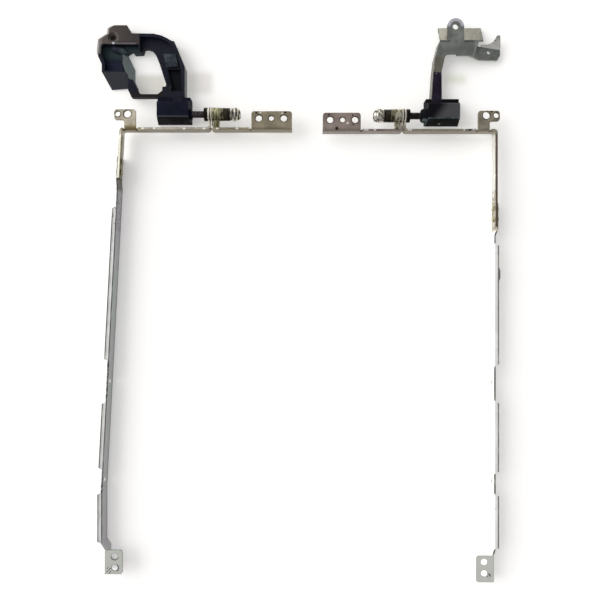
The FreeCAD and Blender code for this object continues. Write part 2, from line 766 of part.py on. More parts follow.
def build_nut(side):
    """Hexagon nut with a small bevel at the washer and a crowned outer end."""
    body = new_body(f"{side}_lock_nut")
    sketch = new_sketch(body, "YZ_Plane", NUT_START)
    corners = []
    for step in range(6):
        turn = f"({step} * 60 + 30) * 1deg"
        corners.append((f"nut_radius * cos({turn})", f"axis_height + nut_radius * sin({turn})"))
    draw_outline(sketch, corners)
    draw_circle(sketch, "0", "axis_height", "thread_radius + fit_clearance")
    pad(body, sketch, "nut_height")
    bevel = new_sketch(body, "XY_Plane", "axis_height")
    end = f"{NUT_START} + nut_height"
    draw_outline(bevel, [
        (NUT_START, "nut_radius - nut_bevel"),
        (NUT_START, "nut_radius + nut_bevel"),
        (f"{NUT_START} + 2 * nut_bevel", "nut_radius + nut_bevel"),
    ])
    draw_outline(bevel, [
        (end, "nut_radius - nut_crown"),
        (f"{end} - 2 * nut_crown", "nut_radius + nut_crown"),
        (end, "nut_radius + nut_crown"),
    ])
    groove = body.newObject("PartDesign::Groove", f"{body.Name}_groove")
    groove.Profile = (bevel, [""])
    groove.ReferenceAxis = (bevel, ["H_Axis"])
    groove.Angle = 360
    place(body, side)
    return finish(body, "lock_nut", side)


def build_boot(side):
    """Moulded boot over the shaft root, hollow, with a hole for the shaft and a slot for the neck."""
    body = new_body(f"{side}_hinge_boot")
    near_end = f"-{side}_boot_near"
    far_end = f"{near_end} - boot_length"
    foot_end = f"{far_end} - boot_flare"

    def swept(radius, top):
        """Points down the back of the boot, round the hinge axis from a height to the ledge."""
        first = f"asin(({top} - axis_height) / ({radius}))"
        last = f"asin((boot_ledge - axis_height) / ({radius}))"
        points = []
        for step in range(ARC_STEPS + 1):
            turn = f"({first} + ({last} - {first}) * {step} / {ARC_STEPS})"
            points.append((f"({radius}) * cos({turn})", f"axis_height + ({radius}) * sin({turn})"))
        return points

    profile = new_sketch(body, "YZ_Plane", foot_end)
    draw_outline(profile, [
        ("-boot_front", "boot_bottom"),
        ("boot_lean - boot_front", "boot_top"),
        *swept("boot_sweep", "boot_top"),
        ("boot_back", "boot_ledge"),
        ("boot_back", "boot_bottom"),
    ])
    pad(body, profile, "boot_length + boot_flare")
    flare = new_sketch(body, "XZ_Plane", "-boot_back")
    draw_outline(flare, [(foot_end, "boot_bottom"), (far_end, "boot_top"), (foot_end, "boot_top")])
    pocket(body, flare, "boot_back + boot_front", reverse=True)
    front = [
        along_x_at("boot_lean - boot_front", "boot_top", foot_end, near_end),
        along_x_at("-boot_front", "boot_bottom", foot_end, near_end),
    ]
    dress("Fillet", body, "Radius", "boot_round", any_of(front))
    collar = new_sketch(body, "YZ_Plane", near_end)
    draw_circle(collar, "0", "axis_height", "boot_collar_radius")
    pad(body, collar, "boot_collar_length")
    cavity = new_sketch(body, "YZ_Plane", f"{near_end} - boot_wall")
    draw_outline(cavity, [
        ("boot_wall - boot_front", "boot_bottom + boot_wall"),
        ("boot_wall + boot_lean - boot_front", "boot_top - boot_wall"),
        *swept("boot_sweep - boot_wall", "boot_top - boot_wall"),
        ("boot_sweep - 2 * boot_wall", "boot_bottom + boot_wall"),
    ])
    pocket(body, cavity, "boot_length - 2 * boot_wall")
    hole = new_sketch(body, "YZ_Plane", f"{near_end} + boot_collar_length")
    draw_circle(hole, "0", "axis_height", "neck_radius + boot_clearance")
    pocket(body, hole, "boot_wall + boot_collar_length")
    slot = new_sketch(body, "XZ_Plane", "-boot_back")
    left = "-neck_near - neck_width - boot_clearance"
    right = "-neck_near + boot_clearance"
    draw_rectangle(slot, left, right, f"{PLATE_FOOT} - boot_clearance", "plate_top + 3 * boot_clearance")
    pocket(body, slot, "boot_back - boot_sweep + 2 * boot_wall", reverse=True)
    place(body, side)
    return finish(body, "hinge_boot", side)


def add_neck_and_lug(body):
    """The neck inside the boot and the upright lug that the shaft is staked into."""
    neck = new_sketch(body, "XY_Plane", PLATE_FOOT)
    neck_end = "base_front + plate_thickness"
    draw_rectangle(neck, "-neck_near - neck_width", "-neck_near", "neck_start", neck_end)
    pad(body, neck, "plate_thickness")
    lug = new_sketch(body, "YZ_Plane", "-neck_near - plate_thickness")
    draw_rectangle(lug, "-lug_radius", "lug_radius", PLATE_FOOT, "axis_height")
    pad(body, lug, "plate_thickness")
    eye = new_sketch(body, "YZ_Plane", "-neck_near - plate_thickness")
    draw_circle(eye, "0", "axis_height", "lug_radius")
    pad(body, eye, "plate_thickness")
    bore = new_sketch(body, "YZ_Plane", "-neck_near")
    draw_circle(bore, "0", "axis_height", "stake_radius + fit_clearance")
    pocket(body, bore, "plate_thickness")


def on_ring(share):
    """A point of the cast ring from its shares of width and depth."""
    return (f"-ring_near - {share[0]} * ring_width", f"base_front + {share[1]} * ring_depth")


def on_bracket(share):
    """A point of the stamped base bracket from its shares of width and depth."""
    return (f"-neck_near - {share[0]} * bracket_width", f"base_front + {share[1]} * bracket_depth")


def build_ring():
    """Left base: a cast ring round an opening, with a channel along the arm and sloping walls."""
    body = new_body("left_base_ring")
    outline = new_sketch(body, "XY_Plane")
    draw_outline(outline, [on_ring(share) for share in RING])
    draw_outline(outline, [on_ring(share) for share in RING_OPENING])
    pad(body, outline, "plate_top")
    rim = [on_ring(share) for share in RING_BEVEL]
    bevels = [between(start, end, "plate_top") for start, end in zip(rim, rim[1:])]
    dress("Chamfer", body, "Size", "ring_bevel", any_of(bevels))
    hollows = [
        (RING_CHANNEL, "plate_top", "channel_floor"),
        (RING_RECESS, "plate_top", "recess_floor"),
        (RING_WELL, "plate_top", "well_floor"),
        (BRIDGE, "bridge_lift", "0"),
    ]
    for shape, roof, floor in hollows:
        hollow = new_sketch(body, "XY_Plane", roof)
        draw_outline(hollow, [on_ring(share) for share in shape])
        pocket(body, hollow, f"{roof} - {floor}")
    facet = new_sketch(body, "YZ_Plane", on_ring((FACET_START, 0))[0])
    high_y = f"base_front + {FACET_TOP} * ring_depth"
    low_y = f"base_front + {FACET_FRONT} * ring_depth"
    fall = "(plate_top - facet_foot)"
    run = f"({high_y} - ({low_y}))"
    draw_outline(facet, [
        (f"{high_y} + {run}", f"plate_top + {fall}"),
        (f"{low_y} - {run}", f"plate_top + {fall}"),
        (f"{low_y} - {run}", f"facet_foot - {fall}"),
    ])
    pocket(body, facet, "ring_width")
    top = new_sketch(body, "XY_Plane", "plate_top")
    draw_outline(top, [on_ring(share) for share in SLOPE_TOP])
    foot = new_sketch(body, "XY_Plane", "slope_foot")
    draw_outline(foot, [on_ring(share) for share in SLOPE_FOOT])
    slope = body.newObject("PartDesign::SubtractiveLoft", "left_base_ring_slope")
    slope.Profile = (top, [""])
    slope.Sections = [(foot, [""])]
    slope.Ruled = True
    for radius, depth in (("ring_screw_radius", "plate_top"), ("counterbore_radius", "counterbore_depth")):
        screw = new_sketch(body, "XY_Plane", "plate_top")
        draw_circle(screw, *on_ring(RING_SCREW), radius)
        pocket(body, screw, depth)
    add_neck_and_lug(body)
    place(body, "left")
    return finish(body, "base_ring", "left")


def build_arm_pad():
    """Thin bare pad stuck in the channel of the ring's arm."""
    body = new_body("left_arm_pad")
    sketch = new_sketch(body, "XY_Plane", "channel_floor")
    draw_outline(sketch, [on_ring(share) for share in ARM_PAD])
    pad(body, sketch, "pad_thickness")
    place(body, "left")
    return finish(body, "arm_pad", "left")


def build_base_bracket():
    """Right base: a stamped plate with a neck, a side flange, a sloping back, a tab and a hooked wing."""
    body = new_body("right_base_bracket")
    wing_x = f"-neck_near - {WING_ROOT} * bracket_width"
    wing_end = "-neck_near - bracket_width"
    wing_back = f"base_front + {WING_SPAN[1]} * bracket_depth"
    profile = new_sketch(body, "XZ_Plane", f"-({wing_back})")
    draw_outline(profile, [
        (wing_x, "plate_top"),
        (f"{wing_x} - wing_run", "plate_top - wing_drop"),
        (wing_end, "plate_top - wing_drop - wing_sag"),
        (wing_end, f"{PLATE_FOOT} - wing_drop - wing_sag"),
        (f"{wing_x} - wing_run", f"{PLATE_FOOT} - wing_drop"),
        (wing_x, PLATE_FOOT),
    ])
    pad(body, profile, f"{WING_SPAN[1] - WING_SPAN[0]:.3f} * bracket_depth")
    hook = new_sketch(body, "YZ_Plane", wing_end)
    hook_top = "plate_top - wing_drop - wing_sag"
    draw_outline(hook, [
        (f"{wing_back} - plate_thickness", hook_top),
        (f"{wing_back} + hook_run", f"{hook_top} + hook_rise"),
        (f"{wing_back} + hook_run", f"{hook_top} + hook_rise - plate_thickness"),
        (f"{wing_back} - plate_thickness", f"{hook_top} - plate_thickness"),
    ])
    pad(body, hook, f"{1 - HOOK_ROOT:.3f} * bracket_width")
    curve = new_sketch(body, "XY_Plane", "plate_top + hook_rise")
    draw_circle(curve, *on_bracket(HOOK_CURVE), "hook_curve_radius")
    for trim in (WING_CORNER, HOOK_TRIM):
        draw_outline(curve, [on_bracket(share) for share in trim])
    draw_circle(curve, *on_bracket(WING_HOLE), "wing_hole_radius")
    pocket(body, curve, "plate_top + hook_rise")
    shelf = new_sketch(body, "XY_Plane", "plate_top + hook_rise")
    draw_outline(shelf, [on_bracket(share) for share in HOOK_SHELF])
    pocket(body, shelf, "plate_top + hook_rise")
    plate = new_sketch(body, "XY_Plane", PLATE_FOOT)
    draw_outline(plate, [on_bracket(share) for share in PLATE])
    pad(body, plate, "plate_thickness")
    flange = new_sketch(body, "XY_Plane")
    outside = [on_bracket(share) for share in FLANGE]
    inside = [(f"{x} - flange_thickness", y) for x, y in reversed(outside)]
    draw_outline(flange, outside + inside)
    pad(body, flange, "plate_top")
    back_y = f"base_front + {BACK_FRONT} * bracket_depth"
    for span_start, span_end in BACK_SPANS:
        back = new_sketch(body, "YZ_Plane", f"-neck_near - {span_end} * bracket_width")
        draw_outline(back, [
            (back_y, "plate_top"),
            (f"{back_y} + back_run", "plate_top - back_drop"),
            (f"{back_y} + back_run", f"{PLATE_FOOT} - back_drop"),
            (back_y, PLATE_FOOT),
        ])
        pad(body, back, f"{span_end - span_start:.3f} * bracket_width")
    tab = new_sketch(body, "XY_Plane", PLATE_FOOT)
    draw_circle(tab, *on_bracket(TAB_CENTRE), "tab_radius")
    pad(body, tab, "plate_thickness")
    hole = new_sketch(body, "XY_Plane", "plate_top")
    draw_circle(hole, *on_bracket(TAB_CENTRE), "tab_hole_radius")
    pocket(body, hole, "plate_thickness")
    add_neck_and_lug(body)
    place(body, "right")
    return finish(body, "base_bracket", "right")


def build_neck_tape():
    """Strip of tape on the neck of the stamped bracket."""
    body = new_body("right_neck_tape")
    sketch = new_sketch(body, "XY_Plane", "plate_top")
    start = "boot_sweep + boot_clearance"
    reach = "(tape_end - base_front) / bracket_depth"
    far = f"-neck_near - {PLATE[1][0]} * bracket_width"
    near_end = f"-neck_near - {FLANGE[1][0] / FLANGE[1][1]:.4f} * {reach} * bracket_width"
    draw_outline(sketch, [
        ("-neck_near", start),
        (far, start),
        (far, "tape_end"),
        (near_end, "tape_end"),
        ("-neck_near", "base_front"),
    ])
    pad(body, sketch, "tape_thickness")
    place(body, "right")
    return finish(body, "neck_tape", "right")


nodes = []
for side in ("left", "right"):
    nodes += [
        build_outer_bracket(side),
        build_inner_bracket(side),
        build_rail(side),
        build_rivets(side),
        build_shaft(side),
        build_tongue_plate(side),
        build_washers(side),
        build_springs(side),
        build_end_washer(side),
        build_nut(side),
        build_boot(side),
    ]
nodes += [build_ring(), build_arm_pad(), build_base_bracket(), build_neck_tape()]
doc.recompute()

broken = [item.Label for item in doc.Objects if "Invalid" in item.State or "Error" in item.State]
broken += [node.Label for node in nodes if node.Shape.isNull() or not node.Shape.isValid()]
if broken:
    raise RuntimeError("not built: " + ", ".join(sorted(set(broken))))
os.makedirs("parts", exist_ok=True)
for node in nodes:
    node.Shape.exportStep(os.path.join("parts", f"{node.Label}.step"))
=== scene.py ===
import json
import math

import bpy
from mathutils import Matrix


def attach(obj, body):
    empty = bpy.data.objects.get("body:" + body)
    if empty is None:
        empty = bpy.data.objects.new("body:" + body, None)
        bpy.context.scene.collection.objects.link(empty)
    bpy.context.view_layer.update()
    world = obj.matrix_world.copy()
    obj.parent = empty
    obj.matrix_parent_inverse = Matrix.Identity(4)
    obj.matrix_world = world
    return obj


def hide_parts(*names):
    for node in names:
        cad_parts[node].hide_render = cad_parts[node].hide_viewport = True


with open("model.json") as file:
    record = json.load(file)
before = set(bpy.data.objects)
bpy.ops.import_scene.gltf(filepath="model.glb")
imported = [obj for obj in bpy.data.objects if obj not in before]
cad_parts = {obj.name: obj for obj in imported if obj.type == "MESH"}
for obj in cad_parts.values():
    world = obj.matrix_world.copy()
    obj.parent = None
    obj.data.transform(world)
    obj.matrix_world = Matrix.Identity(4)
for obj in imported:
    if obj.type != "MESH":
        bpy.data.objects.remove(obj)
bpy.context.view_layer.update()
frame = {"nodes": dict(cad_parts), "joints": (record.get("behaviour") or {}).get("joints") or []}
nodes = frame["nodes"]

# Places and sizes are in millimetres of the row frame, and colours are sRGB values from 0 to 255.
MM = 0.001

# How far a face's normal agrees with the rounded normal, on a flat face and on a sharp edge.
FLAT, SHARP = 0.995, 0.85
BEVEL_SAMPLES = 6

# Most of a noise lies in its range, and stains, painted edge shade, painted edge glints and blotches on
# metal go from none to full between the other limits.
NOISE_RANGE = (0.3, 0.7)
STAINS, RIMS, EDGE_GLINTS, BLOTCHES = (0.58, 0.78), (0.62, 0.45), (0.6, 0.68), (0.38, 0.62)

# Each hinge's axis, the direction away from the middle of the pair, and the body that turns.
HINGES = {}
for joint in frame["joints"]:
    axis = [value / MM for value in joint["pos_m"]]
    side = joint["name"].split("_")[0]
    HINGES[side] = {"axis": axis, "outward": math.copysign(1, axis[0]), "body": joint["child"]}
MIDDLE = sum(hinge["axis"][0] for hinge in HINGES.values()) / 2


class Shader:
    """A procedural material, with masks that run from 0 to 1."""

    def __init__(self, name, metallic, specular=0.5):
        self.material = bpy.data.materials.new(name)
        self.material.use_nodes = True
        self.tree = self.material.node_tree
        self.surface = self.tree.nodes["Principled BSDF"]
        self.surface.inputs["Metallic"].default_value = metallic
        self.surface.inputs["Specular IOR Level"].default_value = specular
        texture = self.node("TexCoord")
        self.place = self.scaled(texture.outputs["Object"], 1 / MM)
        split = self.node("SeparateXYZ")
        self.link(self.place, split.inputs["Vector"])
        self.x, self.y, self.z = split.outputs
        facing = self.node("SeparateXYZ")
        self.link(texture.outputs["Normal"], facing.inputs["Vector"])
        self.face_x, self.face_y, self.face_z = facing.outputs

    def node(self, kind):
        return self.tree.nodes.new("ShaderNode" + kind)

    def link(self, value, socket):
        self.tree.links.new(value, socket)

    def scaled(self, vector, factor):
        node = self.node("VectorMath")
        node.operation = "SCALE"
        node.inputs["Scale"].default_value = factor
        self.link(vector, node.inputs[0])
        return node.outputs["Vector"]

    def noise(self, size, detail=3.0, stretch=(1, 1, 1), shift=(0, 0, 0)):
        """Soft random value with features of about this many millimetres."""
        mapping = self.node("Mapping")
        mapping.inputs["Scale"].default_value = [1 / (size * share) for share in stretch]
        mapping.inputs["Location"].default_value = shift
        self.link(self.place, mapping.inputs["Vector"])
        node = self.node("TexNoise")
        node.inputs["Scale"].default_value = 1.0
        node.inputs["Detail"].default_value = detail
        self.link(mapping.outputs["Vector"], node.inputs["Vector"])
        return node.outputs["Fac"]

    def blots(self, size, low, high, least=0.0, most=1.0, detail=3.0, stretch=(1, 1, 1)):
        """Random blots of about this many millimetres, from least to most between two values of noise."""
        return self.spread(self.noise(size, detail, stretch), low, high, least, most)

    def specks(self, size, limit):
        """Sparse round specks, spaced by about this many millimetres."""
        node = self.node("TexVoronoi")
        node.inputs["Scale"].default_value = 1.0
        self.link(self.scaled(self.place, 1 / size), node.inputs["Vector"])
        return self.spread(node.outputs["Distance"], limit, limit / 2)

    def spread(self, value, low, high, to_low=0.0, to_high=1.0):
        """A smooth step from one result to another between two values."""
        node = self.node("MapRange")
        node.interpolation_type = "SMOOTHSTEP"
        self.link(value, node.inputs["Value"])
        node.inputs["From Min"].default_value = low
        node.inputs["From Max"].default_value = high
        node.inputs["To Min"].default_value = to_low
        node.inputs["To Max"].default_value = to_high
        return node.outputs["Result"]

    def math(self, kind, first, second=0):
        node = self.node("Math")
        node.operation = kind
        for socket, value in zip(node.inputs, (first, second)):
            if isinstance(value, (int, float)):
                socket.default_value = value
            else:
                self.link(value, socket)
        return node.outputs["Value"]

    def both(self, *masks):
        """1 where every mask is 1."""
        result = masks[0]
        for mask in masks[1:]:
            result = self.math("MULTIPLY", result, mask)
        return result

    def either(self, *masks):
        """1 where any mask is 1, and more where masks overlap, which a mix takes as 1."""
        result = masks[0]
        for mask in masks[1:]:
            result = self.math("ADD", result, mask)
        return result

    def distance(self, value, place):
        return self.math("ABSOLUTE", self.math("SUBTRACT", value, place))

    def slanted(self, lean):
        """X, with lines of equal value that lean by this share of Y."""
        return self.math("SUBTRACT", self.x, self.math("MULTIPLY", self.y, lean))

    def band(self, value, low, high, soft=0.3):
        """1 between two limits, fading over a soft edge."""
        return self.both(
            self.spread(value, low - soft, low + soft),
            self.spread(value, high + soft, high - soft),
        )

    def patch(self, low, high, soft=0.4):
        """1 inside a rectangle seen from above."""
        return self.both(
            self.band(self.x, low[0], high[0], soft),
            self.band(self.y, low[1], high[1], soft),
        )

    def disc(self, centre, radius, soft=0.3):
        """1 inside a circle seen from above."""
        away = [self.math("SUBTRACT", value, place) for value, place in zip((self.x, self.y), centre)]
        squares = self.math("ADD", self.both(away[0], away[0]), self.both(away[1], away[1]))
        return self.spread(self.math("SQRT", squares), radius + soft, radius - soft)

    def ring(self, centre, inner, outer, soft=0.15):
        """1 between two circles seen from above."""
        hollow = self.math("SUBTRACT", 1, self.disc(centre, inner, soft))
        return self.both(self.disc(centre, outer, soft), hollow)

    def rounded(self, radius):
        """The normal with edges rounded by this many millimetres."""
        bevel = self.node("Bevel")
        bevel.samples = BEVEL_SAMPLES
        bevel.inputs["Radius"].default_value = radius * MM
        return bevel.outputs["Normal"]

    def edges(self, radius):
        """1 on edges within this many millimetres, 0 on flat faces."""
        geometry = self.node("NewGeometry")
        agreement = self.node("VectorMath")
        agreement.operation = "DOT_PRODUCT"
        self.link(self.rounded(radius), agreement.inputs[0])
        self.link(geometry.outputs["Normal"], agreement.inputs[1])
        return self.spread(agreement.outputs["Value"], FLAT, SHARP)

    def mix(self, factor, first, second):
        node = self.node("Mix")
        node.data_type = "RGBA"
        sockets = [socket for socket in node.inputs if socket.type == "RGBA"]
        self.link(factor, node.inputs["Factor"])
        for socket, value in zip(sockets, (first, second)):
            if isinstance(value, tuple):
                socket.default_value = (*linear(value), 1)
            else:
                self.link(value, socket)
        return next(socket for socket in node.outputs if socket.type == "RGBA")

    def tint(self, base, colour, *masks, share=1.0):
        """Lay a share of a colour over the base where every mask is 1."""
        factor = self.both(*masks)
        if share < 1:
            factor = self.math("MULTIPLY", factor, share)
        return self.mix(factor, base, colour)

    def colour(self, value):
        self.link(value, self.surface.inputs["Base Color"])

    def roughness(self, value):
        self.link(value, self.surface.inputs["Roughness"])

    def bump(self, height, depth, rounding=0.2):
        """Fine relief on softly rounded edges."""
        node = self.node("Bump")
        node.inputs["Strength"].default_value = 1.0
        node.inputs["Distance"].default_value = depth * MM
        self.link(height, node.inputs["Height"])
        self.link(self.rounded(rounding), node.inputs["Normal"])
        self.link(node.outputs["Normal"], self.surface.inputs["Normal"])


def linear(colour):
    """sRGB values from 0 to 255 as linear light."""
    out = []
    for value in colour:
        share = value / 255
        out.append(share / 12.92 if share <= 0.04045 else ((share + 0.055) / 1.055) ** 2.4)
    return out


def lighter(colour, step):
    return tuple(max(0, min(255, value + step)) for value in colour)


def plated_steel(name, light, dark, stain, grain=(8, 1, 1), rough=(0.28, 0.5), metallic=0.9, tints=None,
                 rim=(72, 66, 60), rim_width=0.5, rim_share=0.85):
    """Rolled and plated sheet steel with grain, dull stains, dark rims of painted shade along edges and
    painted glints on edges.
    """
    shader = Shader(name, metallic)
    rolled = shader.noise(size=0.35, detail=4.0, stretch=grain)
    cloud = shader.noise(size=6.0, detail=4.0)
    spots = shader.noise(size=1.4, shift=(5, 3, 1))
    base = shader.mix(shader.spread(cloud, *NOISE_RANGE), dark, light)
    base = shader.tint(base, stain, shader.spread(spots, *STAINS))
    if tints:
        base = tints(shader, base)
    edge = shader.edges(rim_width)
    # Painted shade along the edges, then painted glints on them.
    base = shader.tint(base, rim, edge, shader.spread(spots, *RIMS, 0.1, rim_share))
    base = shader.tint(base, lighter(light, step=50), edge, shader.spread(spots, *EDGE_GLINTS))
    shader.colour(base)
    uneven = shader.math("ADD", shader.math("MULTIPLY", rolled, 0.5), shader.math("MULTIPLY", cloud, 0.5))
    shader.roughness(shader.spread(uneven, *NOISE_RANGE, *rough))
    shader.bump(shader.math("ADD", rolled, shader.math("MULTIPLY", spots, 0.6)), depth=0.005)
    return shader.material


def black_plastic(name, dark, light, rough=(0.4, 0.55), specular=0.08, tints=None):
    """Dark moulded plastic with a fine grain and paler rubbed edges."""
    shader = Shader(name, 0.0, specular)
    grain = shader.noise(size=0.22)
    cloud = shader.noise(size=5.0)
    base = shader.mix(shader.spread(cloud, *NOISE_RANGE), dark, light)
    if tints:
        base = tints(shader, base)
    rubbed = shader.blots(1.8, 0.4, 0.65, most=0.7)
    shader.colour(shader.tint(base, lighter(light, step=26), shader.edges(radius=0.25), rubbed))
    shader.roughness(shader.spread(cloud, *NOISE_RANGE, *rough))
    shader.bump(grain, depth=0.004)
    return shader.material


def turned_metal(name, light, dark, rough=(0.2, 0.4), tints=None, blotch=1.2):
    """Turned metal with rings round the hinge axis."""
    shader = Shader(name, 1.0)
    rings = shader.noise(size=0.12, stretch=(1, 60, 60))
    cloud = shader.noise(size=blotch, stretch=(1, 3, 3))
    base = shader.mix(shader.spread(cloud, *BLOTCHES), dark, light)
    if tints:
        base = tints(shader, base)
    shader.colour(base)
    shader.roughness(shader.spread(cloud, *NOISE_RANGE, *rough))
    shader.bump(rings, depth=0.008, rounding=0.12)
    return shader.material


# How far a face turns up, or towards minus X or Y, from no tint to full tint.
UPWARD, MINUSWARD = (0.4, 0.8), (-0.5, -0.8)

# In the tables of limits below, a pair runs from no tint to full tint, or from side to side of a band.
LID = {
    "bar_facing": (-0.3, -0.8),
    "bar_front": (72.5, 73.5),
    "bar_start": (73.3, 73.6),
    "bar_top": (7.4, 7.7),
    "bend_shade": (74.2, 76.0),
    "bend_shade_corner": (-67.0, -68.5),
    "ear_start": (75.4, 76.4),
    "ear_width": (3.0, 2.5),
    "ear_highlight_bands": (0.35, 0.8),
    "ear_slit": (0.25, 0.12),
    "arm": (73.2, 71.5),
    "arm_foot": (49, 46),
}
# Holes of a lid bracket: distance from the hinge's axis outwards and along Y, and radius.
LID_HOLES = [
    (-21.25, -1.95, 1.4), (-26.7, -1.95, 1.1), (-32.15, -1.95, 1.4),
    (36.1, 0, 1.6), (40.4, 0, 1.15),
]
RIM_INSIDE, RIM_OUTSIDE = 0.2, 0.4


def lid_tints(face, arm, marks, hinge):
    """Tints of a lid bracket: painted shade on the bar's front face, at the left bar's bend corner, in the
    ear slit and round the holes, painted highlights on the ears and glints on burrs, and the arm below the
    bar with painted light and shade.
    """
    axis_x, axis_y, _ = hinge["axis"]

    def tints(shader, base):
        # Painted shade on the bar's front face.
        facing = shader.spread(shader.face_y, *LID["bar_facing"])
        base = shader.tint(base, face, facing, shader.spread(shader.y, *LID["bar_front"]), share=0.85)
        # Painted shade at the bend of the left bar's corner.
        corner = shader.spread(shader.x, *LID["bend_shade_corner"])
        bend_shade = shader.band(shader.y, *LID["bend_shade"], soft=0.6)
        base = shader.tint(base, (132, 114, 66), bend_shade, corner, share=0.7)
        beside = shader.distance(shader.x, axis_x)
        ear = shader.both(
            shader.spread(shader.y, *LID["ear_start"]),
            shader.spread(beside, *LID["ear_width"]),
        )
        # Painted highlights in bright bands on the ears.
        ear_highlight_breakup = shader.blots(0.7, 0.4, 0.6, least=0.5, detail=2.0, stretch=(1, 4, 4))
        ear_highlight_bands = shader.band(beside, *LID["ear_highlight_bands"], soft=0.12)
        base = shader.tint(base, (248, 247, 236), ear, ear_highlight_breakup, ear_highlight_bands)
        # Painted shade in the slit between the ears.
        base = shader.tint(base, (44, 40, 32), ear, shader.spread(beside, *LID["ear_slit"]))
        # The arm below the bar: its colour is painted shade on the left bracket and painted light on the
        # right one.
        below = shader.spread(shader.y, *LID["arm"])
        streaks = shader.blots(1.6, 0.35, 0.65, stretch=(1, 4, 1))
        base = shader.tint(base, shader.mix(streaks, lighter(arm, step=-18), arm), below, share=0.9)
        # A painted shade line under the arm's top edge, and the arm's top painted light on the left bracket
        # and painted shade on the right one.
        line = shader.spread(shader.z, *marks["line"])
        base = shader.tint(base, marks["line_colour"], below, line, share=0.85)
        base = shader.tint(base, marks["top"], below, shader.spread(shader.face_z, *UPWARD), share=0.9)
        foot = shader.spread(shader.y, *LID["arm_foot"])
        worn_foot = shader.blots(0.8, 0.42, 0.56, stretch=(1, 2, 1))
        base = shader.tint(base, marks["foot"], foot, worn_foot, share=0.8)
        flat = shader.both(
            shader.spread(shader.z, *LID["bar_top"]),
            shader.spread(shader.y, *LID["bar_start"]),
        )
        # Painted shade in patchy dark rims round the holes.
        patchy_hole_shade = shader.blots(1.1, 0.4, 0.55, least=0.35, most=0.9, detail=2.0)
        for out, along, radius in LID_HOLES:
            centre = (axis_x + hinge["outward"] * out, axis_y + along)
            rim = shader.ring(centre, radius - RIM_INSIDE, radius + RIM_OUTSIDE)
            base = shader.tint(base, (60, 54, 48), flat, patchy_hole_shade, rim)
        # Dark spots of painted shade in small dents.
        for x, y, radius in marks["dent_shades"]:
            base = shader.tint(base, (58, 50, 44), flat, shader.disc((x, y), radius, soft=0.25))
        # Painted glints on burrs along the bar's edge, and other painted glints.
        burrs = [(x, marks["burr_line"], radius) for x, radius in marks["burrs"]]
        for x, y, radius in burrs + marks["glints"]:
            base = shader.tint(base, (250, 248, 240), flat, shader.disc((x, y), radius, soft=0.2))
        return base
    return tints


# The left rail leans by this share of Y from its bend down to its kink, and is straight below the kink.
LEFT_RAIL_LEAN, LEFT_RAIL_BEND, LEFT_RAIL_KINK = 0.0524, 40, -84.3
LEFT_RAIL = {
    "above_end": (-107.5, -106.5),
    "wall_facing": (0.6, 0.3),
    "foot": (1.0, 0.5),
    "lip": (-80.75, -80.45),
    "crest": (-80.25, -80.05),
    "crest_top": (6.4, 6.7),
    "outer_edge": (-81.35, -81.6),
    "gap_top": (5.8, 6.4),
    "lap": (47, 49),
    "rough": (30, 46),
    "end": (-108, -110),
    "nick": (-80.2, -79.7),
}
LEFT_LIP_GAPS = [(-45.0, -27.0), (-84.8, -74.8)]
LEFT_END_HOLES = [(-80.82, -112.6), (-80.82, -117.6)]
LEFT_SCRAPES = ((-84.2, -119.9), (-82.4, -117.4))


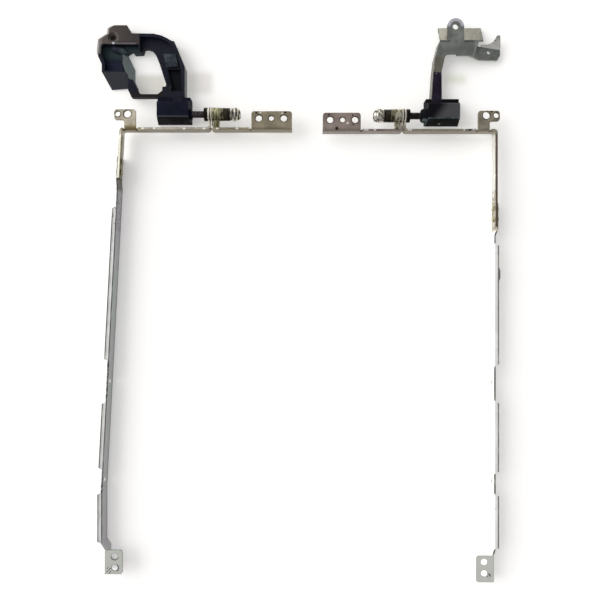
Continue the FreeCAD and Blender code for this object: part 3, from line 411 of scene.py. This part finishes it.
def left_rail_tints(shader, base):
    """Painted highlight on the lip between lines of painted shade, a grey wall of painted shade with darker
    painted shade at its foot, and an end tab outlined in painted shade.
    """
    down = shader.math("SUBTRACT", shader.math("MAXIMUM", shader.y, LEFT_RAIL_KINK), LEFT_RAIL_BEND)
    across = shader.math("SUBTRACT", shader.x, shader.math("MULTIPLY", down, LEFT_RAIL_LEAN))
    upward = shader.spread(shader.face_z, *UPWARD)
    above = shader.spread(shader.y, *LEFT_RAIL["above_end"])
    # Painted shade: the walls are tinted greyer than the steel, mottled.
    wall = shader.spread(shader.face_z, *LEFT_RAIL["wall_facing"])
    mottled = shader.blots(9.0, 0.35, 0.65, stretch=(1, 3, 1))
    base = shader.tint(base, shader.mix(mottled, (174, 171, 176), (172, 179, 174)), wall, share=0.9)
    # Painted shade at the foot of the walls.
    foot = shader.spread(shader.z, *LEFT_RAIL["foot"])
    base = shader.tint(base, (78, 70, 80), wall, above, foot, share=0.85)
    # Painted highlight on the lip's top.
    lip = shader.band(across, *LEFT_RAIL["lip"], soft=0.12)
    base = shader.tint(base, (246, 246, 244), above, upward, lip)
    # Painted shade lines along the crest and the lip's outer edge, broken by noise.
    broken = shader.blots(2.5, 0.3, 0.5, least=0.45, most=0.95, stretch=(1, 3, 1))
    crest = shader.both(
        shader.spread(shader.z, *LEFT_RAIL["crest_top"]),
        shader.spread(across, *LEFT_RAIL["crest"]),
    )
    base = shader.tint(base, (84, 82, 88), above, broken, crest)
    base = shader.tint(base, (70, 66, 74), above, shader.spread(across, *LEFT_RAIL["outer_edge"]), broken)
    gaps = shader.either(*[shader.band(shader.y, *gap) for gap in LEFT_LIP_GAPS])
    chips = shader.both(gaps, shader.blots(1.3, 0.48, 0.58))
    base = shader.tint(base, (52, 50, 54), chips, shader.spread(shader.z, *LEFT_RAIL["gap_top"]))
    lap = shader.spread(shader.y, *LEFT_RAIL["lap"])
    base = shader.tint(base, (88, 84, 70), lap, shader.blots(1.2, 0.35, 0.55, least=0.5))
    rough = shader.band(shader.y, *LEFT_RAIL["rough"], soft=3.0)
    base = shader.tint(base, (92, 90, 96), rough, shader.blots(1.0, 0.5, 0.6), share=0.7)
    end = shader.both(shader.spread(shader.y, *LEFT_RAIL["end"]), upward)
    base = shader.tint(base, (206, 210, 200), end, share=0.85)
    upper, lower = LEFT_END_HOLES
    shade = shader.ring(upper, inner=1.2, outer=1.75)
    base = shader.tint(base, (90, 96, 92), end, shade, shader.spread(shader.y, upper[1], upper[1] - 0.6))
    diagonal = shader.math("MULTIPLY", shader.slanted(1), 4.6)
    strokes = shader.spread(shader.math("SINE", diagonal), -0.3, 0.3)
    scraped = shader.patch(*LEFT_SCRAPES, soft=0.3)
    base = shader.tint(base, shader.mix(strokes, (66, 70, 66), (240, 242, 238)), end, scraped)
    nick = shader.ring(lower, inner=1.3, outer=1.9)
    base = shader.tint(base, (72, 78, 74), end, nick, shader.spread(shader.x, *LEFT_RAIL["nick"]))
    # Painted shade outlining the end tab's edges.
    return shader.tint(base, (98, 104, 98), end, shader.edges(radius=0.45))


RIGHT_RAIL = {
    "wall_facing": (-0.4, -0.7),
    "gap_top": (6.5, 6.8),
    "outer_edge": (86.95, 87.25),
    "below_lap": (26, 24),
    "slot": (-81.6, -79.6),
    "slot_height": (2.2, 4.8),
    "lap": (29.5, 31),
    "end": (-111, -112.5),
}
RIGHT_LIP_GAPS = [(-44.4, -29.4), (-85.3, -76.5), (24.6, 30), (-112.0, -109.6)]
RIGHT_SCRATCH = (83.2, -121.0)


def right_rail_tints(shader, base):
    """Inner wall painted near white as a painted reflection, painted shade along the outer edge and in the
    lip's gaps, and a greyer end tab outlined in painted shade.
    """
    # Painted reflection: the inner wall tinted near white.
    wall = shader.spread(shader.face_x, *RIGHT_RAIL["wall_facing"])
    base = shader.tint(base, (240, 238, 234), wall, share=0.85)
    # Painted shade at the top of the wall in the lip's gaps.
    gaps = shader.either(*[shader.band(shader.y, *gap) for gap in RIGHT_LIP_GAPS])
    broken = shader.blots(3.0, 0.3, 0.55, least=0.7, stretch=(1, 2, 1))
    base = shader.tint(base, (34, 33, 33), gaps, shader.spread(shader.z, *RIGHT_RAIL["gap_top"]), broken)
    # Painted shade line along the outer edge.
    rim = shader.both(
        shader.spread(shader.x, *RIGHT_RAIL["outer_edge"]),
        shader.spread(shader.y, *RIGHT_RAIL["below_lap"]),
    )
    base = shader.tint(base, (100, 97, 96), rim, broken)
    slot = shader.both(
        shader.band(shader.y, *RIGHT_RAIL["slot"]),
        shader.band(shader.z, *RIGHT_RAIL["slot_height"], soft=0.4),
    )
    base = shader.tint(base, (120, 118, 116), wall, slot, share=0.6)
    base = shader.tint(base, (150, 144, 124), shader.spread(shader.y, *RIGHT_RAIL["lap"]), share=0.9)
    end = shader.both(shader.spread(shader.y, *RIGHT_RAIL["end"]), shader.spread(shader.face_z, *UPWARD))
    base = shader.tint(base, (198, 200, 194), end, share=0.9)
    scratch = shader.disc(RIGHT_SCRATCH, radius=1.3, soft=0.5)
    base = shader.tint(base, (92, 96, 98), end, scratch, shader.blots(0.8, 0.5, 0.58, detail=2.0))
    # Painted shade outlining the end tab's edges.
    return shader.tint(base, (96, 98, 94), end, shader.edges(radius=0.45))


# Parts of the cast ring as opposite corners seen from above, with limits in height and direction.
RING = {
    "plate": ((-92, 112.4), (-70.6, 122)),
    "margin": ((-92, 108.5), (-86.8, 116)),
    "recess": ((-88, 104), (-70.5, 112.6)),
    "basin": ((-88, 99), (-74, 105.4)),
    "facet": ((-90, 93.8), (-75.4, 100.3)),
    "slope": ((-79, 97.3), (-71.5, 109)),
    "well": ((-58.5, 91), (-51, 102.5)),
    "bridge": ((-75, 88), (-60, 91.3)),
}
RING_LIMITS = {
    "plate_top": (4.7, 4.9),
    "plate_fade": (-88, -72),
    "margin_top": (4.0, 4.4),
    "bore_floor": (5.0, 4.8),
    "boss_side": (-82.0, -80.6),
    "lines": (-81.0, -72.0),
    "dark_line": (113.45, 113.8),
    "pale_line": (112.5, 113.2),
    "sunk": (3.0, 2.7),
    "recess_fade": (105, 109),
    "rightward": (0.3, 0.6),
    "bevel_side": (-0.25, -0.5),
    "bevel_up": (0.3, 0.5),
    "outside": (-62, -60),
    "well_floor": (3.6, 3.3),
}
RING_SCREW, RING_GLINT = (-82.17, 115.5), (-81.9, 112.9)


def ring_tints(shader, base):
    """Brown top plate with a painted glint, painted shade and highlight lines at its edge and a painted
    highlight on the boss, painted light in the screw bore, a painted highlight on the bevel, painted
    reflections on the facet, sloping wall and outer wall, a recess painted with teal and navy sheen, painted
    shade on the well's floor, and a brown bridge.
    """
    limits = RING_LIMITS
    plate_top = shader.spread(shader.z, *limits["plate_top"])
    plate = shader.both(shader.patch(*RING["plate"], soft=0.2), plate_top)
    fade = shader.mix(shader.spread(shader.x, *limits["plate_fade"]), (98, 91, 88), (64, 59, 60))
    worn = shader.blots(4.0, *NOISE_RANGE, most=0.5)
    base = shader.tint(base, shader.mix(worn, fade, (76, 68, 64)), plate)
    margin_top = shader.spread(shader.z, *limits["margin_top"])
    base = shader.tint(base, (126, 122, 121), shader.patch(*RING["margin"], soft=0.5), margin_top, share=0.8)
    # Painted light in the screw bore, paler than the plastic.
    bore = shader.disc(RING_SCREW, radius=1.5, soft=0.1)
    base = shader.tint(base, (84, 78, 78), bore, shader.spread(shader.z, *limits["bore_floor"]))
    # Painted highlight on the boss's right side.
    boss = shader.ring(RING_SCREW, inner=2.1, outer=2.6, soft=0.2)
    boss_side = shader.spread(shader.x, *limits["boss_side"])
    base = shader.tint(base, (128, 122, 120), boss, boss_side, plate, share=0.6)
    # Painted shade and painted highlight lines along the plate's lower edge.
    lines = shader.both(plate, shader.band(shader.x, *limits["lines"], soft=0.5))
    base = shader.tint(base, (56, 50, 53), lines, shader.band(shader.y, *limits["dark_line"], soft=0.15))
    base = shader.tint(base, (104, 98, 100), lines, shader.band(shader.y, *limits["pale_line"], soft=0.15))
    base = shader.tint(base, (206, 210, 216), plate, shader.disc(RING_GLINT, radius=0.55, soft=0.25))
    # Painted teal and navy sheen on the recess floor.
    sunk = shader.spread(shader.z, *limits["sunk"])
    teal = shader.mix(shader.spread(shader.y, *limits["recess_fade"]), (26, 31, 46), (48, 62, 66))
    base = shader.tint(base, teal, shader.patch(*RING["recess"], soft=0.6), sunk)
    base = shader.tint(base, (33, 38, 60), shader.patch(*RING["basin"], soft=0.6), sunk)
    # Painted reflection making the facet grey.
    base = shader.tint(base, (62, 64, 70), shader.patch(*RING["facet"], soft=0.2))
    # Painted reflection on the sloping wall that faces right.
    rightward = shader.spread(shader.face_x, *limits["rightward"])
    base = shader.tint(base, (142, 152, 152), rightward, shader.patch(*RING["slope"], soft=0.3))
    # Painted highlight on the bevel that faces left and up.
    bevel = shader.both(
        shader.spread(shader.face_x, *limits["bevel_side"]),
        shader.spread(shader.face_z, *limits["bevel_up"]),
    )
    base = shader.tint(base, (138, 134, 131), bevel)
    # Painted reflection on the outer wall that faces right.
    outside = shader.spread(shader.x, *limits["outside"])
    base = shader.tint(base, (138, 141, 140), rightward, outside, share=0.9)
    # Painted shade on the well's floor.
    well = shader.both(shader.patch(*RING["well"], soft=0.3), shader.spread(shader.z, *limits["well_floor"]))
    base = shader.tint(base, (12, 14, 22), well)
    return shader.tint(base, (36, 29, 29), shader.patch(*RING["bridge"], soft=0.2), share=0.8)


KNUCKLE_FADE = (-80.5, -77.2)


def knuckle_tints(shader, base):
    """Paler towards the right end."""
    return shader.tint(base, (84, 97, 100), shader.spread(shader.x, *KNUCKLE_FADE))


BRACKET_LEAN = 0.28
BRACKET_HOLE = (69.06, 120.29)
BRACKET_NECK = ((57, 86), (65.5, 107))
BRACKET = {
    "upward": (0.3, 0.6),
    "back_facing": (0.25, 0.42),
    "back_fade": (68, 78),
    "hook_facing": (-0.3, -0.5),
    "hook_fade": (113.5, 116),
    "tab_end": (119.8, 121),
    "tab_facing": (0.3, 0.1),
    "tab_upward": (0.4, 0.7),
    "fold": (46.5, 46.9),
    "fold_end": (114, 113),
    "beyond_fold": (46.9, 47.3),
    "not_hook": (-0.3, -0.1),
    "left_crease": (62.0, 66.6),
    "right_crease": (72.9, 77.6),
    "crease_row": (113.5, 114.1),
    "flange_middle": (2.3, 3.9),
}


def bracket_tints(shader, base):
    """Painted sheen on the speckled back, painted highlights on the hook, in a crescent at the tab end and
    along the fold line, painted shade beyond the fold and in the creases, the brown neck of the stamped
    base, and a painted highlight with painted shade above and below on the flange.
    """
    upward = shader.spread(shader.face_z, *BRACKET["upward"])
    grit = shader.math("MULTIPLY", shader.blots(0.6, 0.35, 0.65, detail=4.0), 0.35)
    # Painted sheen on the back faces, speckled.
    sheen = shader.mix(shader.spread(shader.x, *BRACKET["back_fade"]), (196, 192, 178), (158, 155, 143))
    back = shader.spread(shader.face_y, *BRACKET["back_facing"])
    base = shader.tint(base, shader.mix(grit, sheen, (222, 218, 204)), back, upward)
    # Painted highlight on the hook.
    bright = shader.mix(shader.spread(shader.y, *BRACKET["hook_fade"]), (238, 236, 230), (190, 188, 182))
    base = shader.tint(base, bright, shader.spread(shader.face_y, *BRACKET["hook_facing"]), upward)
    tab_end = shader.spread(shader.y, *BRACKET["tab_end"])
    level = shader.both(
        shader.spread(shader.face_y, *BRACKET["tab_facing"]),
        shader.spread(shader.face_z, *BRACKET["tab_upward"]),
    )
    # Painted highlight in a crescent round the tab's hole.
    crescent = shader.ring(BRACKET_HOLE, inner=2.4, outer=4.2, soft=0.3)
    base = shader.tint(base, (226, 226, 236), crescent, tab_end, level)
    slanted = shader.slanted(BRACKET_LEAN)
    # Painted highlight along the fold line.
    fold = shader.band(slanted, *BRACKET["fold"], soft=0.25)
    base = shader.tint(base, (192, 194, 188), fold, shader.spread(shader.y, *BRACKET["fold_end"]), share=0.6)
    # Painted shade on the wing beyond the fold.
    beyond = shader.both(
        shader.spread(slanted, *BRACKET["beyond_fold"]),
        shader.spread(shader.face_y, *BRACKET["not_hook"]),
    )
    base = shader.tint(base, (112, 112, 108), beyond, shader.blots(0.9, 0.4, 0.6, least=0.1, most=0.5))
    # Painted shade in the creases beside the tab's root.
    spans = shader.either(
        shader.band(shader.x, *BRACKET["left_crease"], soft=0.2),
        shader.band(shader.x, *BRACKET["right_crease"], soft=0.4),
    )
    row = shader.band(shader.y, *BRACKET["crease_row"], soft=0.25)
    base = shader.tint(base, (66, 66, 60), spans, row, shader.blots(1.0, 0.3, 0.5), share=0.75)
    base = shader.tint(base, (128, 122, 106), shader.patch(*BRACKET_NECK, soft=1.0), share=0.8)
    # Painted highlight along the middle of the flange that faces minus X, with painted shade above and
    # below.
    flange = shader.mix(shader.band(shader.z, *BRACKET["flange_middle"]), (50, 48, 44), (142, 138, 122))
    return shader.tint(base, flange, shader.spread(shader.face_x, *MINUSWARD), share=0.9)


LEFT_BOOT = {"line": (78.8, 79.3), "line_top": (10.1, 10.4)}


def left_boot_tints(shader, base):
    """Painted shade on the front, and a thin painted highlight line along the front of the boot's top."""
    # Painted shade on the front.
    base = shader.tint(base, (9, 10, 14), shader.spread(shader.face_y, *MINUSWARD))
    # Painted highlight line along the front of the top.
    line = shader.band(shader.y, *LEFT_BOOT["line"], soft=0.2)
    line_top = shader.spread(shader.z, *LEFT_BOOT["line_top"])
    return shader.tint(base, (96, 100, 112), line, line_top, share=0.8)


RIGHT_BOOT_LEAN = 0.7
RIGHT_BOOT = {
    "dust": (1.5, 7.5),
    "dust_top": (9.2, 10.2),
    "front_glint": (61.5, 62.6),
    "front_glint_height": (3.5, 4.0),
    "left_edge": (56.5, 56.1),
    "top_edge": (9.7, 10.2),
}


def right_boot_tints(shader, base):
    """Dusty top beside the end of the tape, painted shade on the front and the left side, a painted glint on
    the front, and painted highlights along the front edges.
    """
    dust = shader.spread(shader.slanted(RIGHT_BOOT_LEAN), *RIGHT_BOOT["dust"])
    base = shader.tint(base, (76, 76, 79), dust, shader.spread(shader.z, *RIGHT_BOOT["dust_top"]))
    # Painted shade on the front and the left side.
    front = shader.spread(shader.face_y, *MINUSWARD)
    base = shader.tint(base, (11, 13, 15), front)
    base = shader.tint(base, (14, 16, 19), shader.spread(shader.face_x, *MINUSWARD))
    # A painted glint on the front.
    front_glint = shader.both(
        shader.band(shader.x, *RIGHT_BOOT["front_glint"], soft=0.2),
        shader.band(shader.z, *RIGHT_BOOT["front_glint_height"], soft=0.2),
    )
    base = shader.tint(base, (214, 216, 214), front, front_glint)
    # Painted highlights along the front's left and top edges.
    brink = shader.either(
        shader.spread(shader.x, *RIGHT_BOOT["left_edge"]),
        shader.spread(shader.z, *RIGHT_BOOT["top_edge"]),
    )
    broken_edge_highlight = shader.blots(1.2, 0.35, 0.6, least=0.2, most=0.8, detail=2.0)
    return shader.tint(base, (112, 126, 126), front, brink, broken_edge_highlight)


def tape_tints(shader, base):
    """A few pale specks of lint."""
    return shader.tint(base, (168, 160, 174), shader.specks(size=2.2, limit=0.11))


def pad_tints(shader, base):
    """Soft dark smudges."""
    return shader.tint(base, (24, 28, 36), shader.blots(2.2, 0.5, 0.66, most=0.7, detail=2.0))


# Painted shade on the tongue: where it starts and ends along Y, and its strongest share.
TONGUE_SHADE, TONGUE_SHADE_SHARE = (82, 77), 0.6


def tongue_tints(shader, base):
    """Painted shade, darker towards the foot of the tongue."""
    return shader.tint(base, (74, 70, 34), shader.spread(shader.y, *TONGUE_SHADE, 0.0, TONGUE_SHADE_SHARE))


# Distances from the middle of the pair.
SHAFT_DOME, SHAFT_COLLAR = (31.6, 31.2), (43.2, 45.2)


def shaft_tints(shader, base):
    """Bright domed ends on the dark shafts, and blackened collars."""
    inward = shader.distance(shader.x, MIDDLE)
    polished = shader.blots(0.7, 0.44, 0.58, detail=2.0)
    dome = shader.mix(polished, (70, 67, 56), (208, 204, 188))
    base = shader.tint(base, dome, shader.spread(inward, *SHAFT_DOME))
    return shader.tint(base, (38, 34, 32), shader.band(inward, *SHAFT_COLLAR, soft=0.2))


# Marks on the lid brackets, with painted shade lines and painted light or shade on the arms' tops: dark
# spots of painted shade in dents and painted glints as x, y and radius, and painted glints on burrs as x and
# radius on one line.
LEFT_MARKS = {
    "line": (5.6, 6.4),
    "line_colour": (98, 95, 42),
    "top": (252, 250, 232),
    "foot": (112, 108, 62),
    "dent_shades": [(-18.6, 81.4, 0.5), (-6.0, 81.7, 0.6), (-70.6, 83.6, 0.5)],
    "burr_line": 74.7,
    "burrs": [
        (-68.3, 0.55), (-63.3, 0.5), (-50.2, 0.6), (-41.5, 0.6), (-35.7, 0.55), (-27.1, 0.6), (-21.5, 0.5),
    ],
    "glints": [(-16.9, 81.6, 0.4), (-7.4, 81.2, 0.35), (-39.2, 76.0, 0.45), (-38.1, 75.3, 0.5)],
}
RIGHT_MARKS = {
    "line": (7.6, 7.9),
    "line_colour": (120, 106, 102),
    "top": (124, 110, 104),
    "foot": (118, 104, 56),
    "dent_shades": [(16.5, 74.7, 0.7), (13.0, 80.6, 0.4), (74.6, 74.1, 0.5), (84.0, 82.0, 0.5), (23.4, 80.4, 0.4)],
    "burr_line": 74.1,
    "burrs": [(28.8, 0.5), (29.8, 0.5), (33.1, 0.5), (47.8, 0.5), (48.8, 0.5), (72.1, 0.5), (76.2, 0.45)],
    "glints": [(21.2, 77.0, 0.45), (87.0, 71.5, 0.5)],
}
# Colours of the arm below each lid bar, one steel painted as shade on the left and as light on the right.
LEFT_ARM, RIGHT_ARM = (152, 147, 132), (246, 244, 238)

LOOKS = {
    "left_outer_bracket": plated_steel(
        "left_lid_steel", (204, 196, 178), (170, 162, 144), (146, 134, 110),
        tints=lid_tints((122, 116, 104), LEFT_ARM, LEFT_MARKS, HINGES["left"]),
    ),
    "left_inner_bracket": plated_steel(
        "left_inner_steel", (184, 174, 148), (150, 141, 120), (128, 116, 92),
        tints=lid_tints((130, 123, 107), LEFT_ARM, LEFT_MARKS, HINGES["left"]),
    ),
    "right_outer_bracket": plated_steel(
        "right_lid_steel", (188, 180, 160), (152, 145, 128), (124, 114, 94),
        tints=lid_tints((136, 128, 115), RIGHT_ARM, RIGHT_MARKS, HINGES["right"]),
    ),
    "right_inner_bracket": plated_steel(
        "right_inner_steel", (178, 162, 154), (144, 130, 124), (122, 106, 98),
        tints=lid_tints((134, 126, 118), RIGHT_ARM, RIGHT_MARKS, HINGES["right"]),
    ),
    # The two rails are one steel, painted greyer on the left and paler and less metallic on the right as
    # painted shade and painted light.
    "left_screen_rail": plated_steel(
        "left_rail_steel", (222, 222, 220), (198, 199, 197), (172, 172, 170), grain=(1, 8, 1),
        metallic=0.5, tints=left_rail_tints, rim=(74, 70, 76), rim_width=0.3, rim_share=0.5,
    ),
    "right_screen_rail": plated_steel(
        "right_rail_steel", (248, 247, 243), (234, 232, 228), (218, 216, 210), grain=(1, 8, 1),
        metallic=0.1, tints=right_rail_tints, rim=(150, 147, 144), rim_width=0.15, rim_share=0.3,
    ),
    "right_base_bracket": plated_steel(
        "base_steel", (156, 160, 154), (130, 135, 130), (118, 114, 104), grain=(1, 6, 1),
        tints=bracket_tints, rim=(70, 70, 64), rim_width=0.4, rim_share=0.8,
    ),
    "left_base_ring": black_plastic("cast_black", (23, 25, 37), (34, 36, 48), tints=ring_tints),
    "left_ring_knuckle": black_plastic("knuckle_black", (31, 35, 47), (42, 47, 58), tints=knuckle_tints),
    "left_hinge_boot": black_plastic(
        "left_boot_black", (22, 24, 36), (29, 31, 44), specular=0.02, tints=left_boot_tints,
    ),
    "right_hinge_boot": black_plastic(
        "right_boot_black", (17, 17, 22), (24, 24, 28), specular=0.02, tints=right_boot_tints,
    ),
    "right_neck_tape": black_plastic("tape_black", (26, 20, 34), (40, 33, 48), tints=tape_tints),
    "right_tongue_plate": turned_metal("right_greased_steel", (206, 202, 180), (104, 100, 78), blotch=0.9),
    "left_arm_pad": black_plastic("pad_grey", (44, 51, 60), (70, 77, 84), tints=pad_tints),
}

# Looks of the nodes that both hinges have, by the name without its side.
SHARED = {
    "rail_rivets": turned_metal("rivet_steel", (200, 193, 162), (128, 120, 88)),
    "hinge_shaft": turned_metal("shaft_steel", (74, 68, 70), (42, 38, 42), tints=shaft_tints),
    "tongue_plate": turned_metal(
        "greased_steel", (190, 186, 150), (74, 71, 44), tints=tongue_tints, blotch=0.9,
    ),
    "friction_washers": turned_metal("washer_steel", (140, 136, 112), (66, 64, 50), blotch=0.9),
    "disc_springs": turned_metal("spring_black", (62, 58, 48), (34, 32, 30), rough=(0.3, 0.45)),
    "end_washer": turned_metal(
        "end_washer_steel", (206, 202, 190), (120, 116, 104), rough=(0.12, 0.28), blotch=0.8,
    ),
    "lock_nut": turned_metal("nut_steel", (238, 235, 222), (72, 70, 61), rough=(0.1, 0.25), blotch=0.7),
}

# Corners of neighbouring facets are joined, so that the materials find whole edges.
WELD_DISTANCE = 0.002
for name, piece in nodes.items():
    look = LOOKS.get(name) or SHARED[name.split("_", 1)[1]]
    piece.data.materials.clear()
    piece.data.materials.append(look)
    weld = piece.modifiers.new("weld", "WELD")
    weld.merge_threshold = WELD_DISTANCE * MM

SHARP_ANGLE = 40
TURNED_STEPS = 48
KNUCKLE_RINGS, KNUCKLE_STEPS = 8, 32


def add_piece(name, points, faces, body, look):
    """A smooth piece with sharp edges kept, riding on a body, from points in millimetres."""
    mesh = bpy.data.meshes.new(name)
    mesh.from_pydata([[value * MM for value in point] for point in points], [], faces)
    mesh.polygons.foreach_set("use_smooth", [True] * len(mesh.polygons))
    mesh.set_sharp_from_angle(angle=math.radians(SHARP_ANGLE))
    mesh.materials.append(look)
    piece = bpy.data.objects.new(name, mesh)
    bpy.context.scene.collection.objects.link(piece)
    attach(piece, body)
    return piece


def turned_piece(name, side, look, profile):
    """A ring turned round a hinge's axis, from points of its section: distance outwards and radius."""
    hinge = HINGES[side]
    axis_x, axis_y, axis_z = hinge["axis"]
    points, faces = [], []
    for step in range(TURNED_STEPS):
        turn = 2 * math.pi * step / TURNED_STEPS
        for along, radius in profile:
            points.append((
                axis_x + hinge["outward"] * along,
                axis_y + radius * math.cos(turn),
                axis_z + radius * math.sin(turn),
            ))
    count = len(profile)
    for step in range(TURNED_STEPS):
        low, high = step * count, (step + 1) % TURNED_STEPS * count
        for place in range(count):
            after = (place + 1) % count
            face = (low + place, low + after, high + after, high + place)
            faces.append(face if hinge["outward"] < 0 else face[::-1])
    return add_piece(name, points, faces, hinge["body"], look)


def half_ellipsoid(name, body, look, centre, half, turn):
    """The upper half of an ellipsoid on a flat bottom, turned about Z by an angle in degrees."""
    across, along = math.sin(math.radians(turn)), math.cos(math.radians(turn))
    points = []
    for ring in range(KNUCKLE_RINGS):
        rise = math.pi / 2 * ring / KNUCKLE_RINGS
        for step in range(KNUCKLE_STEPS):
            around = 2 * math.pi * step / KNUCKLE_STEPS
            x = half[0] * math.cos(rise) * math.cos(around)
            y = half[1] * math.cos(rise) * math.sin(around)
            points.append((
                centre[0] + x * along - y * across,
                centre[1] + x * across + y * along,
                centre[2] + half[2] * math.sin(rise),
            ))
    crown = len(points)
    points.append((centre[0], centre[1], centre[2] + half[2]))
    faces = [tuple(reversed(range(KNUCKLE_STEPS)))]
    for ring in range(KNUCKLE_RINGS):
        low = ring * KNUCKLE_STEPS
        high = low + KNUCKLE_STEPS
        for step in range(KNUCKLE_STEPS):
            after = (step + 1) % KNUCKLE_STEPS
            if ring < KNUCKLE_RINGS - 1:
                faces.append((low + step, low + after, high + after, high + step))
            else:
                faces.append((low + step, low + after, crown))
    return add_piece(name, points, faces, body, look)


# Sections of the turned pieces: distance outwards from the hinge's ears, and radius.
DISCS, STACK_START, STACK_LENGTH = 4, -8.72, 2.9
STACK_BORE = 1.98
DISC_RIM = [(0.04, 2.66), (0.2, 2.76), (0.8, 2.76), (0.96, 2.66)]
STACK = [(STACK_START + STACK_LENGTH, STACK_BORE), (STACK_START, STACK_BORE)]
for disc in range(DISCS):
    for share, radius in DISC_RIM:
        STACK.append((STACK_START + STACK_LENGTH * (disc + share) / DISCS, radius))
DOME = [
    (-11.9, 1.63), (-12.3, 1.63), (-13.05, 1.42), (-13.2, 1.6), (-13.1, 1.95),
    (-12.9, 2.25), (-12.6, 2.44), (-12.0, 2.52), (-11.9, 2.4),
]
COLLAR = [(10.15, 1.47), (7.6, 1.47), (7.5, 2.3), (7.75, 2.7), (8.3, 2.95), (10.15, 3.05)]
KNUCKLE_CENTRE, KNUCKLE_HALF, KNUCKLE_TURN = (-80.1, 110.8, 2.55), (3.8, 1.75, 2.0), -17

for side in HINGES:
    stack = turned_piece(side + "_spring_stack", side, SHARED["disc_springs"], STACK)
    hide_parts(side + "_disc_springs")
    turned_piece(side + "_nut_dome", side, SHARED["lock_nut"], DOME)
turned_piece("right_boot_collar", "right", LOOKS["right_hinge_boot"], COLLAR)
half_ellipsoid(
    "left_ring_knuckle", "left_base_arm", LOOKS["left_ring_knuckle"],
    KNUCKLE_CENTRE, KNUCKLE_HALF, KNUCKLE_TURN,
)

# White paper under the pair, with faint painted shadows as opposite corners and a colour.
FLOOR = 3000 * MM
CORNERS = [(-FLOOR, -FLOOR, 0), (FLOOR, -FLOOR, 0), (FLOOR, FLOOR, 0), (-FLOOR, FLOOR, 0)]
FLOOR_SHADOWS = [
    ((-74, 91.5), (-60, 101), (180, 176, 162)),
    ((-50, 92.5), (-39, 102), (208, 203, 198)),
    ((65, 97), (75, 101), (208, 212, 188)),
]
PAPER_ROUGHNESS, PAPER_GLOW, GLOW_COLOUR = 0.9, 0.3, (1, 0.99, 0.97, 1)
paper = Shader("paper", 0.0, 0.1)
sheet = paper.mix(paper.noise(size=40, detail=2.0), (250, 250, 249), (246, 245, 243))
for low, high, tone in FLOOR_SHADOWS:
    sheet = paper.tint(sheet, tone, paper.patch(low, high, soft=2.0), share=0.8)
paper.colour(sheet)
paper.surface.inputs["Roughness"].default_value = PAPER_ROUGHNESS
paper.surface.inputs["Emission Color"].default_value = GLOW_COLOUR
paper.surface.inputs["Emission Strength"].default_value = PAPER_GLOW
floor_mesh = bpy.data.meshes.new("floor")
floor_mesh.from_pydata(CORNERS, [], [(0, 1, 2, 3)])
floor_mesh.materials.append(paper.material)
floor = bpy.data.objects.new("floor", floor_mesh)
bpy.context.scene.collection.objects.link(floor)

# The camera looks straight down, and sees a square of the table with this half width.
CAMERA = (0.405, -0.265, 265)
HALF_FRAME = 135
CLIP_START = 10
camera_data = bpy.data.cameras.new("camera")
camera_data.angle = 2 * math.atan(HALF_FRAME / CAMERA[2])
camera_data.clip_start = CLIP_START * MM
camera = bpy.data.objects.new("camera", camera_data)
camera.location = [value * MM for value in CAMERA]
bpy.context.scene.collection.objects.link(camera)
bpy.context.scene.camera = camera

# A room that is bright on the left, dim on the right and dull overhead: place on the ramp, and light.
BRIGHT_SIDE = (-0.92, 0.3, -0.25)
ROOM = [
    (0.0, (0.34, 0.34, 0.35, 1)),
    (0.36, (0.34, 0.34, 0.35, 1)),
    (0.62, (0.85, 0.84, 0.82, 1)),
    (0.85, (1.4, 1.39, 1.36, 1)),
]
world = bpy.data.worlds.new("studio")
bpy.context.scene.world = world
world.use_nodes = True
tree = world.node_tree
direction = tree.nodes.new("ShaderNodeTexCoord")
side_light = tree.nodes.new("ShaderNodeVectorMath")
side_light.operation = "DOT_PRODUCT"
side_light.inputs[1].default_value = BRIGHT_SIDE
reach = tree.nodes.new("ShaderNodeMapRange")
reach.inputs["From Min"].default_value = -1.0
ramp = tree.nodes.new("ShaderNodeValToRGB")
tree.links.new(direction.outputs["Generated"], side_light.inputs[0])
tree.links.new(side_light.outputs["Value"], reach.inputs["Value"])
tree.links.new(reach.outputs["Result"], ramp.inputs["Fac"])
tree.links.new(ramp.outputs["Color"], tree.nodes["Background"].inputs["Color"])
for _ in ROOM[2:]:
    ramp.color_ramp.elements.new(0.5)
for stop, (position, light) in zip(ramp.color_ramp.elements, ROOM):
    stop.position = position
    stop.color = light

# A wide soft key light from the left, with its angles in degrees.
SUN_ENERGY, SUN_SPREAD, SUN_TILT = 1.3, 50, (-16, -55, 0)
sun_data = bpy.data.lights.new("key", "SUN")
sun_data.energy = SUN_ENERGY
sun_data.angle = math.radians(SUN_SPREAD)
sun = bpy.data.objects.new("key", sun_data)
sun.rotation_euler = [math.radians(angle) for angle in SUN_TILT]
bpy.context.scene.collection.objects.link(sun)

bpy.context.scene.view_settings.view_transform = "Standard"
